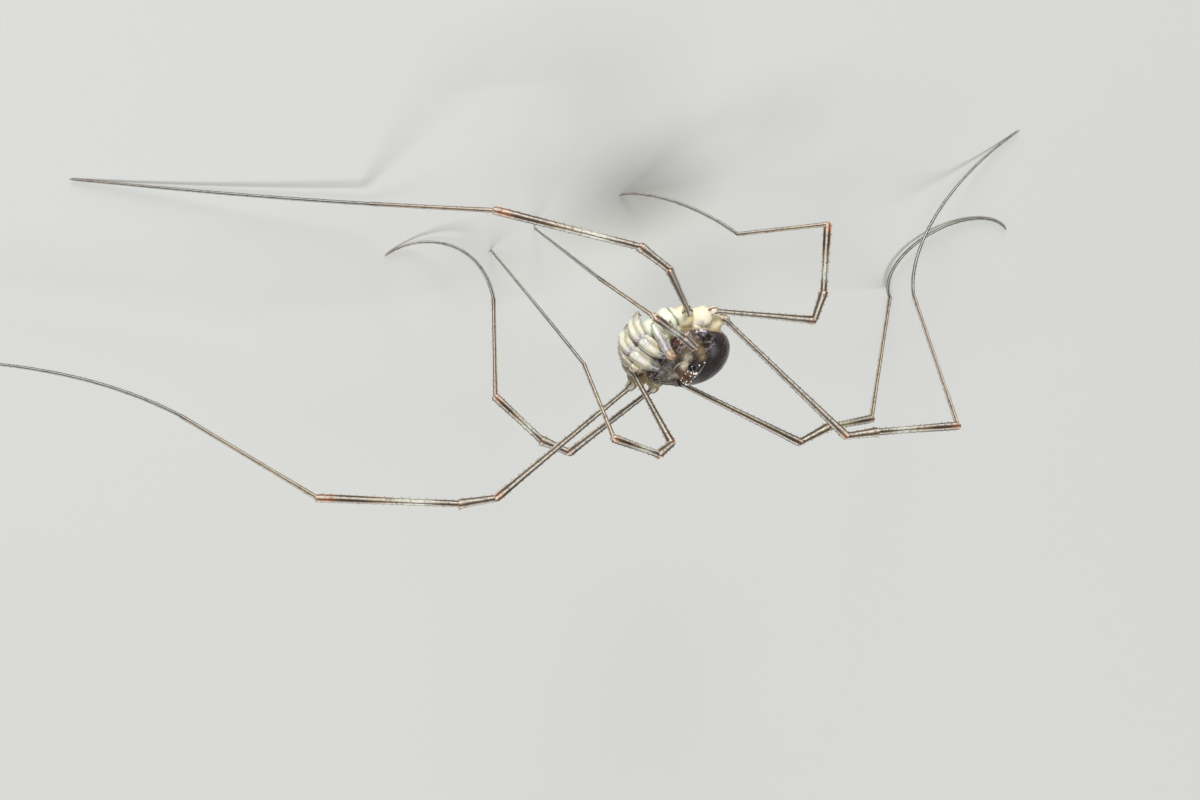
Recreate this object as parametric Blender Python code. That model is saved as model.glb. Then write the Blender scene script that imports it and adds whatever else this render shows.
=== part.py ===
"""Harvestman, life size, standing on seven feet with its left second leg held out in the air.

The model's frame has +Z up, the animal's head towards -Y and its right side towards -X. The origin is on
the floor, under the middle of the box round the whole animal. The body has a frame of its own, with
distances given ahead, to the right and up the back; it leans as a whole, and the legs start from it.
"""

import math
import random

import bmesh
import bpy
from mathutils import Matrix, Vector

# Units
MM = 0.001

# Place and lean of the body
BODY_CENTRE = Vector((-0.15, 5.54, 5.33))
BODY_PITCH = 8.4
BODY_ROLL = 8.3

# Body form: the trunk's widest place and its reach from there, ahead, behind, to the side, up and down;
# the powers say how blunt its two ends are, where 2 is an ellipse
TRUNK_CENTRE = Vector((-0.42, 0.0, 0.02))
TRUNK_AHEAD = 1.75
TRUNK_BEHIND = 1.74
TRUNK_WIDTH = 1.22
TRUNK_BACK = 0.84
TRUNK_BELLY = 0.96
BLUNT_AHEAD = 3.2
BLUNT_BEHIND = 2.7
CARAPACE_DROP = 0.20
WAIST = -0.35
JOINT_GAP = 0.3
SMALL_GAP = 0.05

# Rings of the trunk: one every few degrees, and furrows between the plates of the hind body
RING_STEP = 10.0
ROUND_STEPS = 28
FURROWS = (-0.72, -1.04, -1.34, -1.62, -1.86)
FURROW_HALF_WIDTH = 0.055
FURROW_DEPTH = 0.045
FURROW_CLEAR = 1.6
RISE_START = 0.05
RISE_LENGTH = 0.65

# Swellings of the front body: middle and half sizes
LIP = ((1.12, 0.40, -0.76), (0.34, 0.27, 0.36))
BREAST_PLATE = ((0.45, 0.0, -0.86), (0.62, 0.42, 0.22))

# Blunt knobs along the carapace's margin: place and radius
MARGIN_KNOBS = (
    ((-0.10, 1.18, 0.06), 0.13),
    ((0.16, 1.18, 0.12), 0.09),
    ((0.62, 1.08, 0.14), 0.10),
    ((0.84, 0.99, 0.17), 0.09),
    ((1.02, 0.87, 0.20), 0.08),
)

# Eyes and the mound that carries them
MOUND_AHEAD = 0.47
MOUND_BASE = 0.80
MOUND_HALF = Vector((0.42, 0.34, 0.46))
MOUND_GAP = 0.10
LOBE_SIDE = 0.16
LOBE_UP = 1.02
LOBE_HALF = Vector((0.36, 0.20, 0.24))
BROW_SPINES = 5
BROW_SPREAD = 62.0
BROW_REACH = (0.31, 0.20)
BROW_SIZE = (0.05, 0.13)
EYE_RADIUS = 0.155
EYE_SIDE = 0.315
EYE_UP = 1.03

# Legs: bases on the body, lengths of the five pieces, and thickness
LEG_BASES = {
    1: (1.35, 1.10, -0.25),
    2: (0.85, 1.80, -0.25),
    3: (-0.45, 1.85, -0.25),
    4: (-1.40, 1.50, -0.25),
}
COXA_ROOTS = {
    1: (0.66, 0.62, -0.70),
    2: (0.35, 0.68, -0.68),
    3: (0.02, 0.66, -0.68),
    4: (-0.30, 0.60, -0.66),
}
LEG_LENGTHS = {
    1: (3.50, 1.00, 2.50, 3.30, 6.20),
    2: (6.35, 1.30, 5.15, 5.75, 11.40),
    3: (3.70, 1.05, 2.50, 3.50, 4.90),
    4: (5.85, 1.15, 3.65, 5.65, 7.40),
}
PIECES = ("femur", "patella", "tibia", "metatarsus")
COXA_OVERRUN = 0.6
COXA_SWELLING = ((-0.20, 0.22), (0.0, 0.40), (0.38, 0.43), (0.80, 0.34), (1.0, 0.30))
THICKNESS = {
    "femur": ((0.0, 0.29), (0.10, 0.25), (0.60, 0.25), (0.93, 0.29), (1.0, 0.27)),
    "patella": ((0.0, 0.26), (0.50, 0.28), (0.90, 0.31), (1.0, 0.29)),
    "tibia": ((0.0, 0.25), (0.55, 0.25), (0.90, 0.28), (1.0, 0.26)),
    "metatarsus": ((0.0, 0.25), (1.0, 0.25)),
}
OVERRUN = 0.45
FOOT_RADIUS = 0.25
TOE_RADIUS = 0.14
TOE_HEIGHT = 0.12
TOE_REACH = 0.18
FOOT_STEPS = 6
FOOT_FINENESS = 8
RAISED_TOE_HEIGHT = 3.0
RAISED_LEG = "left_2"

# Pose of each leg: for the four upper pieces, the bearing from straight ahead towards the leg's own side
# and the slope above level, in degrees; then the foot's bearings at its start and end, and how soon it
# drops to the floor
LEG_POSES = {
    "left_1": (((-58, 83), (7, 32), (-8, 0), (172, -85)), (89, 73), 1.0),
    "left_2": (((45, 22), (31, -4), (21, -10), (-1, -27)), (-1, 11), 3.3),
    "left_3": (((64, 9), (15, -33), (-14, -27), (-65, -38)), (-55, 75), 1.8),
    "left_4": (((178, 16), (224, -10), (174, -20), (213, -60)), (326, 153), 2.0),
    "right_1": (((46, 48), (23, 3), (21, 6), (-100, -62)), (-125, -124), 1.0),
    "right_2": (((34, 17), (7, -27), (-18, -21), (-86, -41)), (-14, -9), 1.3),
    "right_3": (((156, 15), (86, -30), (65, -31), (-24, -1)), (-66, -66), 1.2),
    "right_4": (((179, 52), (151, 4), (166, -3), (138, -83)), (118, 106), 2.1),
}

# Spines of the legs: rows round a piece, number to a millimetre, foot radius, height and lean
SPINE_ROWS = 3
SPINE_PITCH = 0.85
SPINE_RADIUS = 0.065
SPINE_HEIGHT = 0.13
SPINE_LEAN = 0.8
SPINE_SIDES = 5
SPINE_SHIFT = 0.3
SPINE_VARIATION = 0.15
SPINE_MARGIN = 0.3
SPINED = ("femur", "tibia")
TEETH = (0.0, 72.0, -72.0)
TOOTH_SHARE = 0.72
TOOTH_RADIUS = 0.085
TOOTH_HEIGHT = 0.16

# Mouthparts, as stations on the body: ahead, out to the side, up
RIM_REACH = 0.08
RIM_SHARE = 0.6
CHELICERA_BASE = ((1.60, 0.33, 0.28), (1.84, 0.33, 0.02), (2.05, 0.33, -0.34))
CHELICERA_BASE_RADII = (0.19, 0.21, 0.21)
CHELICERA_HAND = ((2.09, 0.33, -0.56), (1.76, 0.33, -1.05), (1.30, 0.31, -1.50), (1.02, 0.30, -1.74))
CHELICERA_HAND_RADII = (0.20, 0.21, 0.14, 0.06)
CHELICERA_FINGER = ((1.78, 0.43, -1.10), (1.42, 0.47, -1.48), (1.12, 0.42, -1.68), (1.00, 0.34, -1.66))
FINGER_RADII = (0.13, 0.11, 0.07, 0.04)
TIP_RADII = (0.17, 0.16, 0.11, 0.05)
PALPS = {
    "right": (
        ("femur", ((1.50, 0.74, 0.22), (1.68, 0.81, 0.50), (1.80, 0.86, 0.80)), (0.17, 0.18, 0.17)),
        ("tibia", ((2.13, 0.86, 1.00), (2.24, 0.85, 0.74), (2.24, 0.84, 0.46)), (0.16, 0.18, 0.17)),
        (
            "tarsus",
            ((2.20, 0.83, 0.16), (2.06, 0.80, -0.30), (1.86, 0.78, -0.76), (1.76, 0.78, -0.88)),
            TIP_RADII,
        ),
    ),
    "left": (
        ("femur", ((1.74, 0.80, 0.10), (1.86, 0.82, 0.30), (1.94, 0.84, 0.52)), (0.13, 0.15, 0.14)),
        ("tibia", ((2.22, 0.84, 0.60), (2.32, 0.83, 0.34), (2.32, 0.82, 0.06)), (0.15, 0.17, 0.16)),
        (
            "tarsus",
            ((2.28, 0.81, -0.24), (2.14, 0.80, -0.66), (1.96, 0.78, -1.06), (1.86, 0.78, -1.16)),
            TIP_RADII,
        ),
    ),
}

# Edges sharper than this stay sharp in the shading
SHARP_ANGLE = 50.0

# Colours: red, green, blue, roughness
FINISHES = {
    "prosoma": (0.16, 0.10, 0.07, 0.40),
    "opisthosoma": (0.08, 0.05, 0.06, 0.28),
    "ocularium": (0.30, 0.18, 0.13, 0.40),
    "eye": (0.01, 0.01, 0.01, 0.05),
    "chelicera": (0.75, 0.70, 0.55, 0.35),
    "pedipalp": (0.72, 0.68, 0.52, 0.40),
    "leg": (0.36, 0.32, 0.24, 0.45),
}


def clear_scene():
    """Remove every object that the file starts with."""
    for old in list(bpy.data.objects):
        bpy.data.objects.remove(old, do_unlink=True)


def new_collection(name):
    """Return a new collection, linked to the scene."""
    group = bpy.data.collections.new(name)
    bpy.context.scene.collection.children.link(group)
    return group


def finish(node, kind):
    """Shade a node smooth up to sharp edges and give it its own material, in its kind of part's colour."""
    node.data.shade_smooth()
    node.data.set_sharp_from_angle(angle=math.radians(SHARP_ANGLE))
    red, green, blue, roughness = FINISHES[kind]
    material = bpy.data.materials.new(node.name + "_finish")
    material.use_nodes = True
    shader = material.node_tree.nodes["Principled BSDF"]
    shader.inputs["Base Color"].default_value = (red, green, blue, 1.0)
    shader.inputs["Roughness"].default_value = roughness
    shader.inputs["Metallic"].default_value = 0.0
    node.data.materials.clear()
    node.data.materials.append(material)


def body_matrix():
    """Return the matrix that takes (ahead, right, up) on the body, in millimetres, to the model's frame."""
    axes = Matrix(((0.0, -1.0, 0.0), (-1.0, 0.0, 0.0), (0.0, 0.0, 1.0)))
    pitch = Matrix.Rotation(math.radians(-BODY_PITCH), 3, "X")
    roll = Matrix.Rotation(math.radians(-BODY_ROLL), 3, "Y")
    turned = (pitch @ roll @ axes).to_4x4()
    return Matrix.Translation(BODY_CENTRE) @ turned


def on_body(place, side=1):
    """Return a place given as (ahead, out, up) in the model's frame; side is 1 for right, -1 for left."""
    ahead, out, up = place
    return body_matrix() @ Vector((ahead, out * side, up))


def heading(bearing, slope, side):
    """Return the unit direction of a leg piece in the model's frame."""
    bearing, slope = math.radians(bearing), math.radians(slope)
    level = math.cos(slope)
    return Vector((-side * math.sin(bearing) * level, -math.cos(bearing) * level, math.sin(slope)))


def mesh_object(name, bm, group):
    """Make an object from a bmesh, in metres, with its faces pointing out."""
    bmesh.ops.scale(bm, vec=(MM, MM, MM), verts=bm.verts)
    bmesh.ops.recalc_face_normals(bm, faces=bm.faces)
    mesh = bpy.data.meshes.new(name)
    bm.to_mesh(mesh)
    bm.free()
    node = bpy.data.objects.new(name, mesh)
    group.objects.link(node)
    return node


def tube(points, radii, resolution=2):
    """Return a bmesh of a round tube with closed ends along the points, in millimetres."""
    curve = bpy.data.curves.new("path", "CURVE")
    curve.dimensions = "3D"
    curve.bevel_depth = 1.0
    curve.bevel_resolution = resolution
    curve.use_fill_caps = True
    spline = curve.splines.new("POLY")
    spline.points.add(len(points) - 1)
    for station, place, radius in zip(spline.points, points, radii):
        station.co = (*place, 1.0)
        station.radius = radius
    holder = bpy.data.objects.new("path", curve)
    bpy.context.scene.collection.objects.link(holder)
    bpy.context.view_layer.update()
    mesh = bpy.data.meshes.new_from_object(holder.evaluated_get(bpy.context.evaluated_depsgraph_get()))
    bm = bmesh.new()
    bm.from_mesh(mesh)
    bmesh.ops.remove_doubles(bm, verts=bm.verts, dist=0.001)
    bpy.data.meshes.remove(mesh)
    bpy.data.objects.remove(holder, do_unlink=True)
    bpy.data.curves.remove(curve)
    return bm


def trim(bm, place, outward):
    """Cut away what lies beyond a plane and close the cut with a flat face."""
    everything = bm.verts[:] + bm.edges[:] + bm.faces[:]
    cut = bmesh.ops.bisect_plane(
        bm, geom=everything, dist=1e-5, plane_co=place, plane_no=outward, clear_outer=True
    )
    edges = [piece for piece in cut["geom_cut"] if isinstance(piece, bmesh.types.BMEdge)]
    bmesh.ops.contextual_create(bm, geom=edges)


def fuse(name, pieces, group):
    """Join closed mesh objects in one union and keep its largest closed surface."""
    node = pieces[0]
    if len(pieces) > 1:
        others = bpy.data.collections.new(name + "_pieces")
        bpy.context.scene.collection.children.link(others)
        for piece in pieces[1:]:
            group.objects.unlink(piece)
            others.objects.link(piece)
        union = node.modifiers.new("union", "BOOLEAN")
        union.operation = "UNION"
        union.operand_type = "COLLECTION"
        union.collection = others
        union.solver = "EXACT"
        bpy.context.view_layer.update()
        mesh = bpy.data.meshes.new_from_object(node.evaluated_get(bpy.context.evaluated_depsgraph_get()))
        node.modifiers.remove(union)
        node.data = mesh
        for piece in list(others.objects):
            bpy.data.objects.remove(piece, do_unlink=True)
        bpy.data.collections.remove(others)
    node.name = name
    keep_largest(node)
    return node


def read_profile(share, knots):
    """Return the value of a broken line at a share of the length."""
    for (low, first), (high, second) in zip(knots, knots[1:]):
        if share <= high:
            return first + (second - first) * max(0.0, share - low) / (high - low)
    return knots[-1][1]


def egg(name, place, half, group, side=1, segments=14, rings=8):
    """Make an egg on the body from its middle and half sizes, given as (ahead, out, up)."""
    bm = bmesh.new()
    bmesh.ops.create_uvsphere(bm, u_segments=segments, v_segments=rings, radius=1.0)
    for vert in bm.verts:
        local = Vector(place) + Vector(vert.co[i] * half[i] for i in range(3))
        vert.co = on_body(local, side)
    return mesh_object(name, bm, group)


def spine(root, direction, radius, height, group):
    """Make one tapering spine whose foot stands at the root and whose point is at the height."""
    bm = bmesh.new()
    turn = direction.to_track_quat("Z", "Y").to_matrix().to_4x4()
    middle = Matrix.Translation(root + direction * height / 2)
    bmesh.ops.create_cone(
        bm, cap_ends=True, segments=SPINE_SIDES, radius1=radius, radius2=0.0, depth=height, matrix=middle @ turn
    )
    return mesh_object("spine", bm, group)


def subtract(node, cutter):
    """Cut one object's shape out of another and remove the cutter."""
    cut = node.modifiers.new("cut", "BOOLEAN")
    cut.operation = "DIFFERENCE"
    cut.object = cutter
    cut.solver = "EXACT"
    bpy.context.view_layer.update()
    mesh = bpy.data.meshes.new_from_object(node.evaluated_get(bpy.context.evaluated_depsgraph_get()))
    node.modifiers.remove(cut)
    node.data = mesh
    bpy.data.objects.remove(cutter, do_unlink=True)
    keep_largest(node)


def keep_largest(node):
    """Drop every loose surface of a node but the largest."""
    bm = bmesh.new()
    bm.from_mesh(node.data)
    bmesh.ops.triangulate(bm, faces=bm.faces)
    bmesh.ops.remove_doubles(bm, verts=bm.verts, dist=1e-7)
    islands = []
    unseen = set(bm.faces)
    while unseen:
        island = {unseen.pop()}
        front = list(island)
        while front:
            face = front.pop()
            for edge in face.edges:
                for near in edge.link_faces:
                    if near in unseen:
                        unseen.discard(near)
                        island.add(near)
                        front.append(near)
        islands.append(island)
    largest = max(islands, key=lambda island: sum(face.calc_area() for face in island))
    scraps = [face for island in islands if island is not largest for face in island]
    bmesh.ops.delete(bm, geom=scraps, context="FACES")
    bm.to_mesh(node.data)
    bm.free()


def trunk_point(place):
    """Shape a point of a unit ball into the trunk, in the body's frame."""
    rise = max(0.0, min(1.0, (place.x - RISE_START) / RISE_LENGTH))
    drop = CARAPACE_DROP * rise * rise * (3.0 - 2.0 * rise)
    height = TRUNK_BACK * (1.0 - drop) if place.z > 0.0 else TRUNK_BELLY
    reach = TRUNK_AHEAD if place.x > 0.0 else TRUNK_BEHIND
    return TRUNK_CENTRE + Vector((reach * place.x, TRUNK_WIDTH * place.y, height * place.z))


def trunk_radius(ahead):
    """Return the radius of the blunt unit ball at a place along it."""
    blunt = BLUNT_AHEAD if ahead > 0.0 else BLUNT_BEHIND
    return (1.0 - abs(ahead) ** blunt) ** (1.0 / blunt)


def trunk_stations():
    """Return the trunk's rings as (ahead, radius) of the unit ball, with three rings at each furrow."""
    furrows = [(ahead - TRUNK_CENTRE.x) / TRUNK_BEHIND for ahead in FURROWS]
    half = FURROW_HALF_WIDTH / TRUNK_BEHIND
    stations = []
    steps = round(180.0 / RING_STEP)
    for step in range(1, steps):
        ahead = -math.cos(math.radians(step * RING_STEP))
        if all(abs(ahead - furrow) > half * FURROW_CLEAR for furrow in furrows):
            stations.append((ahead, trunk_radius(ahead)))
    for furrow in furrows:
        for offset, depth in ((-half, 0.0), (0.0, FURROW_DEPTH), (half, 0.0)):
            ahead = furrow + offset
            stations.append((ahead, trunk_radius(ahead) * (1.0 - depth)))
    return sorted(stations)


def trunk():
    """Return a bmesh of the whole trunk, a profile turned round the long axis, in the body's frame."""
    bm = bmesh.new()
    profile = [(-1.0, 0.0)] + trunk_stations() + [(1.0, 0.0)]
    verts = [bm.verts.new((ahead, 0.0, radius)) for ahead, radius in profile]
    edges = [bm.edges.new(pair) for pair in zip(verts, verts[1:])]
    bmesh.ops.spin(
        bm, geom=verts + edges, cent=(0, 0, 0), axis=(1, 0, 0), angle=math.tau, steps=ROUND_STEPS
    )
    bmesh.ops.remove_doubles(bm, verts=bm.verts, dist=1e-5)
    for vert in bm.verts:
        vert.co = trunk_point(vert.co)
    return bm


def coxa_line(number):
    """Return the two ends of a coxa on the body: its root inside the trunk and the leg's base."""
    return Vector(COXA_ROOTS[number]), Vector(LEG_BASES[number])


def coxa(number, side, extra, group):
    """Make one coxa, thicker by extra; its end is mitred to meet the leg's first piece."""
    root, base = coxa_line(number)
    root, base = on_body(root, side), on_body(base, side)
    along = (base - root).normalized()
    line = [root.lerp(base, share) for share, _ in COXA_SWELLING]
    radii = [radius + extra for _, radius in COXA_SWELLING]
    if not extra:
        line[-1] = base + along * COXA_OVERRUN
    bm = tube(line, radii)
    if not extra:
        first = heading(*LEG_POSES[leg_name(number, side)][0][0], side)
        across = (along + first).normalized()
        trim(bm, base - across * JOINT_GAP / 2, across)
    return mesh_object("coxa", bm, group)


def leg_name(number, side):
    """Return a leg's name, such as left_2."""
    return ("right_" if side > 0 else "left_") + str(number)


def build_trunk(group):
    """Build the prosoma with its eight coxae, and the opisthosoma behind it."""
    front = trunk()
    trim(front, Vector((WAIST + JOINT_GAP / 2, 0.0, 0.0)), Vector((-1.0, 0.0, 0.0)))
    bmesh.ops.transform(front, matrix=body_matrix(), verts=front.verts)
    pieces = [mesh_object("prosoma", front, group)]
    pieces.append(egg("plate", *BREAST_PLATE, group))
    for side in (1, -1):
        pieces.append(egg("lip", *LIP, group, side))
        for number in LEG_BASES:
            pieces.append(coxa(number, side, 0.0, group))
        for place, radius in MARGIN_KNOBS:
            pieces.append(egg("knob", place, (radius, radius, radius), group, side, 8, 5))
    prosoma = fuse("prosoma", pieces, group)
    finish(prosoma, "prosoma")
    back = trunk()
    trim(back, Vector((WAIST - JOINT_GAP / 2, 0.0, 0.0)), Vector((1.0, 0.0, 0.0)))
    bmesh.ops.transform(back, matrix=body_matrix(), verts=back.verts)
    opisthosoma = mesh_object("opisthosoma", back, group)
    for number in (3, 4):
        for side in (1, -1):
            subtract(opisthosoma, coxa(number, side, JOINT_GAP / 2, group))
    finish(opisthosoma, "opisthosoma")


def build_eyes(group):
    """Build the mound on the carapace, with its two lobes and rows of brow spines, and the eyes in it."""
    pieces = [egg("ocularium", (MOUND_AHEAD, 0.0, MOUND_BASE), MOUND_HALF, group, 1, 20, 12)]
    up = on_body((0.0, 0.0, 1.0)) - on_body((0.0, 0.0, 0.0))
    radius, height = BROW_SIZE
    for side in (1, -1):
        lobe = (MOUND_AHEAD, LOBE_SIDE, LOBE_UP)
        pieces.append(egg("lobe", lobe, LOBE_HALF, group, side, 16, 10))
        for index in range(BROW_SPINES):
            turn = math.radians(BROW_SPREAD * (2.0 * index / (BROW_SPINES - 1) - 1.0))
            ahead = MOUND_AHEAD - BROW_REACH[0] * math.sin(turn)
            root = on_body((ahead, LOBE_SIDE, LOBE_UP + BROW_REACH[1] * math.cos(turn) - radius), side)
            pieces.append(spine(root, up, radius, height + radius, group))
    ocularium = fuse("ocularium", pieces, group)
    carapace = trunk()
    bmesh.ops.recalc_face_normals(carapace, faces=carapace.faces)
    for vert in carapace.verts:
        vert.co += vert.normal * MOUND_GAP
    bmesh.ops.transform(carapace, matrix=body_matrix(), verts=carapace.verts)
    subtract(ocularium, mesh_object("carapace", carapace, group))
    for side, name in ((1, "eye_right"), (-1, "eye_left")):
        centre = on_body((MOUND_AHEAD, EYE_SIDE, EYE_UP), side)
        socket = bmesh.new()
        bmesh.ops.create_icosphere(socket, subdivisions=2, radius=EYE_RADIUS + SMALL_GAP)
        bmesh.ops.translate(socket, verts=socket.verts, vec=centre)
        subtract(ocularium, mesh_object("socket", socket, group))
        ball = bmesh.new()
        bmesh.ops.create_icosphere(ball, subdivisions=2, radius=EYE_RADIUS)
        bmesh.ops.translate(ball, verts=ball.verts, vec=centre)
        eye = mesh_object(name, ball, group)
        finish(eye, "eye")
    finish(ocularium, "ocularium")


def mouth_tube(places, radii, side):
    """Return a bmesh of a tube along places on the body, with its two rims rounded off."""
    line = [on_body(place, side) for place in places]
    radii = list(radii)
    for end, near in ((0, 1), (-1, -2)):
        inward = (line[near] - line[end]).normalized()
        rim = line[end] + inward * RIM_REACH
        edge = radii[end] * RIM_SHARE
        if end == 0:
            line.insert(1, rim)
            radii.insert(0, edge)
        else:
            line.insert(len(line) - 1, rim)
            radii.append(edge)
    return tube(line, radii)


def build_mouthparts(group):
    """Build the two chelicerae and the two pedipalps."""
    for side, word in ((1, "right"), (-1, "left")):
        base = mouth_tube(CHELICERA_BASE, CHELICERA_BASE_RADII, side)
        node = mesh_object(f"chelicera_{word}_base", base, group)
        finish(node, "chelicera")
        palm = mesh_object("palm", mouth_tube(CHELICERA_HAND, CHELICERA_HAND_RADII, side), group)
        finger = mesh_object("finger", mouth_tube(CHELICERA_FINGER, FINGER_RADII, side), group)
        node = fuse(f"chelicera_{word}_hand", [palm, finger], group)
        finish(node, "chelicera")
        for piece, places, radii in PALPS[word]:
            node = mesh_object(f"pedipalp_{word}_{piece}", mouth_tube(places, radii, side), group)
            finish(node, "pedipalp")


def foot_points(start, length, bearings, sharpness, side, toe_height, steps):
    """Return the foot's points: its height falls to the toe's by a power of the way left to go."""
    points = [start.copy()]
    fine = FOOT_FINENESS
    place = start.copy()
    fall = start.z - toe_height
    for step in range(steps * fine):
        share = (step + 0.5) / (steps * fine)
        sink = -fall * sharpness * (1.0 - share) ** (sharpness - 1.0) / length
        level = math.sqrt(max(0.0, 1.0 - sink * sink))
        bearing = math.radians(bearings[0] + (bearings[1] - bearings[0]) * share)
        move = Vector((-side * math.sin(bearing) * level, -math.cos(bearing) * level, sink))
        place = place + move * length / (steps * fine)
        if step % fine == fine - 1:
            points.append(place.copy())
    return points


def leg_joints(number, side):
    """Return a leg's joints, from its base on the body to the start of the foot."""
    poses = LEG_POSES[leg_name(number, side)][0]
    joints = [on_body(LEG_BASES[number], side)]
    for length, pose in zip(LEG_LENGTHS[number], poses):
        joints.append(joints[-1] + heading(*pose, side) * length)
    return joints


def leg_spines(piece, start, end, chance, group):
    """Make the spines of one leg piece: rows along its edges, or the knee's ring of teeth."""
    along = (end - start).normalized()
    length = (end - start).length
    across = along.orthogonal().normalized()
    made = []
    if piece in SPINED:
        for row in range(SPINE_ROWS):
            turned = Matrix.Rotation(math.tau * row / SPINE_ROWS, 3, along) @ across
            count = max(2, round(length * SPINE_PITCH))
            for index in range(count):
                step = index + 0.5 + SPINE_MARGIN + SPINE_SHIFT * chance.uniform(-1.0, 1.0)
                share = step / (count + 2.0 * SPINE_MARGIN)
                radius = read_profile(share, THICKNESS[piece])
                root = start + along * length * share + turned * (radius - SPINE_RADIUS)
                direction = (turned + along * SPINE_LEAN).normalized()
                size = 1.0 + SPINE_VARIATION * chance.uniform(-1.0, 1.0)
                height = (SPINE_HEIGHT + SPINE_RADIUS) * size
                made.append(spine(root, direction, SPINE_RADIUS, height, group))
    if piece == "patella":
        up = (Vector((0.0, 0.0, 1.0)) - along * along.z).normalized()
        for angle in TEETH:
            turned = Matrix.Rotation(math.radians(angle), 3, along) @ up
            root = start + along * length * TOOTH_SHARE + turned * (THICKNESS[piece][-1][1] - TOOTH_RADIUS)
            direction = (turned + along * SPINE_LEAN).normalized()
            made.append(spine(root, direction, TOOTH_RADIUS, TOOTH_HEIGHT + TOOTH_RADIUS, group))
    return made


def build_leg(number, side, chance, group):
    """Build the five pieces of one leg, with mitred ends that face each other over the joint gap."""
    name = leg_name(number, side)
    joints = leg_joints(number, side)
    root, base = coxa_line(number)
    directions = [(on_body(base, side) - on_body(root, side)).normalized()]
    directions += [(b - a).normalized() for a, b in zip(joints, joints[1:])]
    bearings, sharpness = LEG_POSES[name][1:]
    toe = RAISED_TOE_HEIGHT if name == RAISED_LEG else TOE_HEIGHT
    length = LEG_LENGTHS[number][4]
    steps = max(FOOT_STEPS, round(length))
    foot = foot_points(joints[-1], length, bearings, sharpness, side, toe, steps)
    directions.append((foot[1] - foot[0]).normalized())
    for index, piece in enumerate(PIECES):
        start, end = joints[index], joints[index + 1]
        along = directions[index + 1]
        knots = THICKNESS[piece]
        line = [start.lerp(end, share) for share, _ in knots]
        line[0] = start - along * OVERRUN
        line[-1] = end + along * OVERRUN
        bm = tube(line, [radius for _, radius in knots])
        for place, before, after, sign in (
            (start, directions[index], along, -1.0),
            (end, along, directions[index + 2], 1.0),
        ):
            across = (before + after).normalized()
            trim(bm, place - across * sign * JOINT_GAP / 2, across * sign)
        shaft = mesh_object("shaft", bm, group)
        node = fuse(f"leg_{name}_{piece}", [shaft] + leg_spines(piece, start, end, chance, group), group)
        finish(node, "leg")
    narrowing = (FOOT_RADIUS - TOE_RADIUS) / (len(foot) - 1)
    radii = [FOOT_RADIUS - narrowing * step for step in range(len(foot))]
    foot[0] = foot[0] - directions[-1] * OVERRUN
    foot[-1] = foot[-1] + (foot[-1] - foot[-2]).normalized() * TOE_REACH
    bm = tube(foot, radii)
    across = (directions[-2] + directions[-1]).normalized()
    trim(bm, joints[-1] + across * JOINT_GAP / 2, -across)
    if name != RAISED_LEG:
        trim(bm, Vector(), Vector((0.0, 0.0, -1.0)))
    node = mesh_object(f"leg_{name}_tarsus", bm, group)
    finish(node, "leg")


def main():
    """Build the whole animal."""
    clear_scene()
    group = new_collection("harvestman")
    build_trunk(group)
    build_eyes(group)
    build_mouthparts(group)
    chance = random.Random(5)
    for number in LEG_BASES:
        for side in (1, -1):
            build_leg(number, side, chance, group)


main()
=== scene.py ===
"""Harvestman, life size: skin, legs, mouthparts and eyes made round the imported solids.

Lengths are in millimetres here and become metres when a mesh is made. The model's frame has +Z up, the
head towards -Y and the animal's right side towards -X. A place on the body is (ahead, out, up), where out
is measured towards the side that the part is on.
"""

import logging
import math
from dataclasses import dataclass, field, fields
from enum import Enum

import bpy
import numpy as np
from mathutils import Matrix, Quaternion


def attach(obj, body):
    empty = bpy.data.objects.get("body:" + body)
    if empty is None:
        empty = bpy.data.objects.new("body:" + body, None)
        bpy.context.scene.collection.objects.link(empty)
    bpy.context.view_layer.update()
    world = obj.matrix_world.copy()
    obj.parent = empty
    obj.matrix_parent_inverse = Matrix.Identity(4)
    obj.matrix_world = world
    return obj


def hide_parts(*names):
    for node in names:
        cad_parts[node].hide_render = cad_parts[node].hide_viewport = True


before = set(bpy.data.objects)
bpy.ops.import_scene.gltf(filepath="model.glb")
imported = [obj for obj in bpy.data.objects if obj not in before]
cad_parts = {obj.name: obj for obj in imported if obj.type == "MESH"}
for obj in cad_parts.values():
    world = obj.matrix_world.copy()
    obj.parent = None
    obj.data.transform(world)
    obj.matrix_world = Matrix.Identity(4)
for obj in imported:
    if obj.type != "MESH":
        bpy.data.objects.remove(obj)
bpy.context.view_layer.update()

Array = np.ndarray
Triple = tuple[float, float, float]
Knots = tuple[tuple[float, float], ...]
Tones = tuple[tuple[float, Triple], ...]
Spots = tuple[tuple[Triple, float], ...]
Socket = bpy.types.NodeSocket
Look = tuple[Socket, Socket, Socket]

MM = 0.001
UP = np.array((0.0, 0.0, 1.0))
CLOUD_CELLS = 24
CLOUD_SHIFT = 200.0
CREST_SLOPE = 4.5
ROW_JITTER = 0.45
LENGTH_SPREAD = (0.75, 1.25)
TONE_SPREAD = (0.8, 1.2)
ROOT_SUNK = 0.8
HAIR_SEED = 7
log = logging.getLogger("harvestman")


class Side(Enum):
    """The side of the body that a part is on."""

    RIGHT = 1
    LEFT = -1

    @property
    def word(self) -> str:
        """Return the side's name as it stands in the nodes' names."""
        return self.name.lower()


class Part(Enum):
    """What a face of a piece is made of; the value is its place in the piece's list of materials."""

    SHELL = 0
    SPINE = 1
    CLAW = 2


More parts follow.
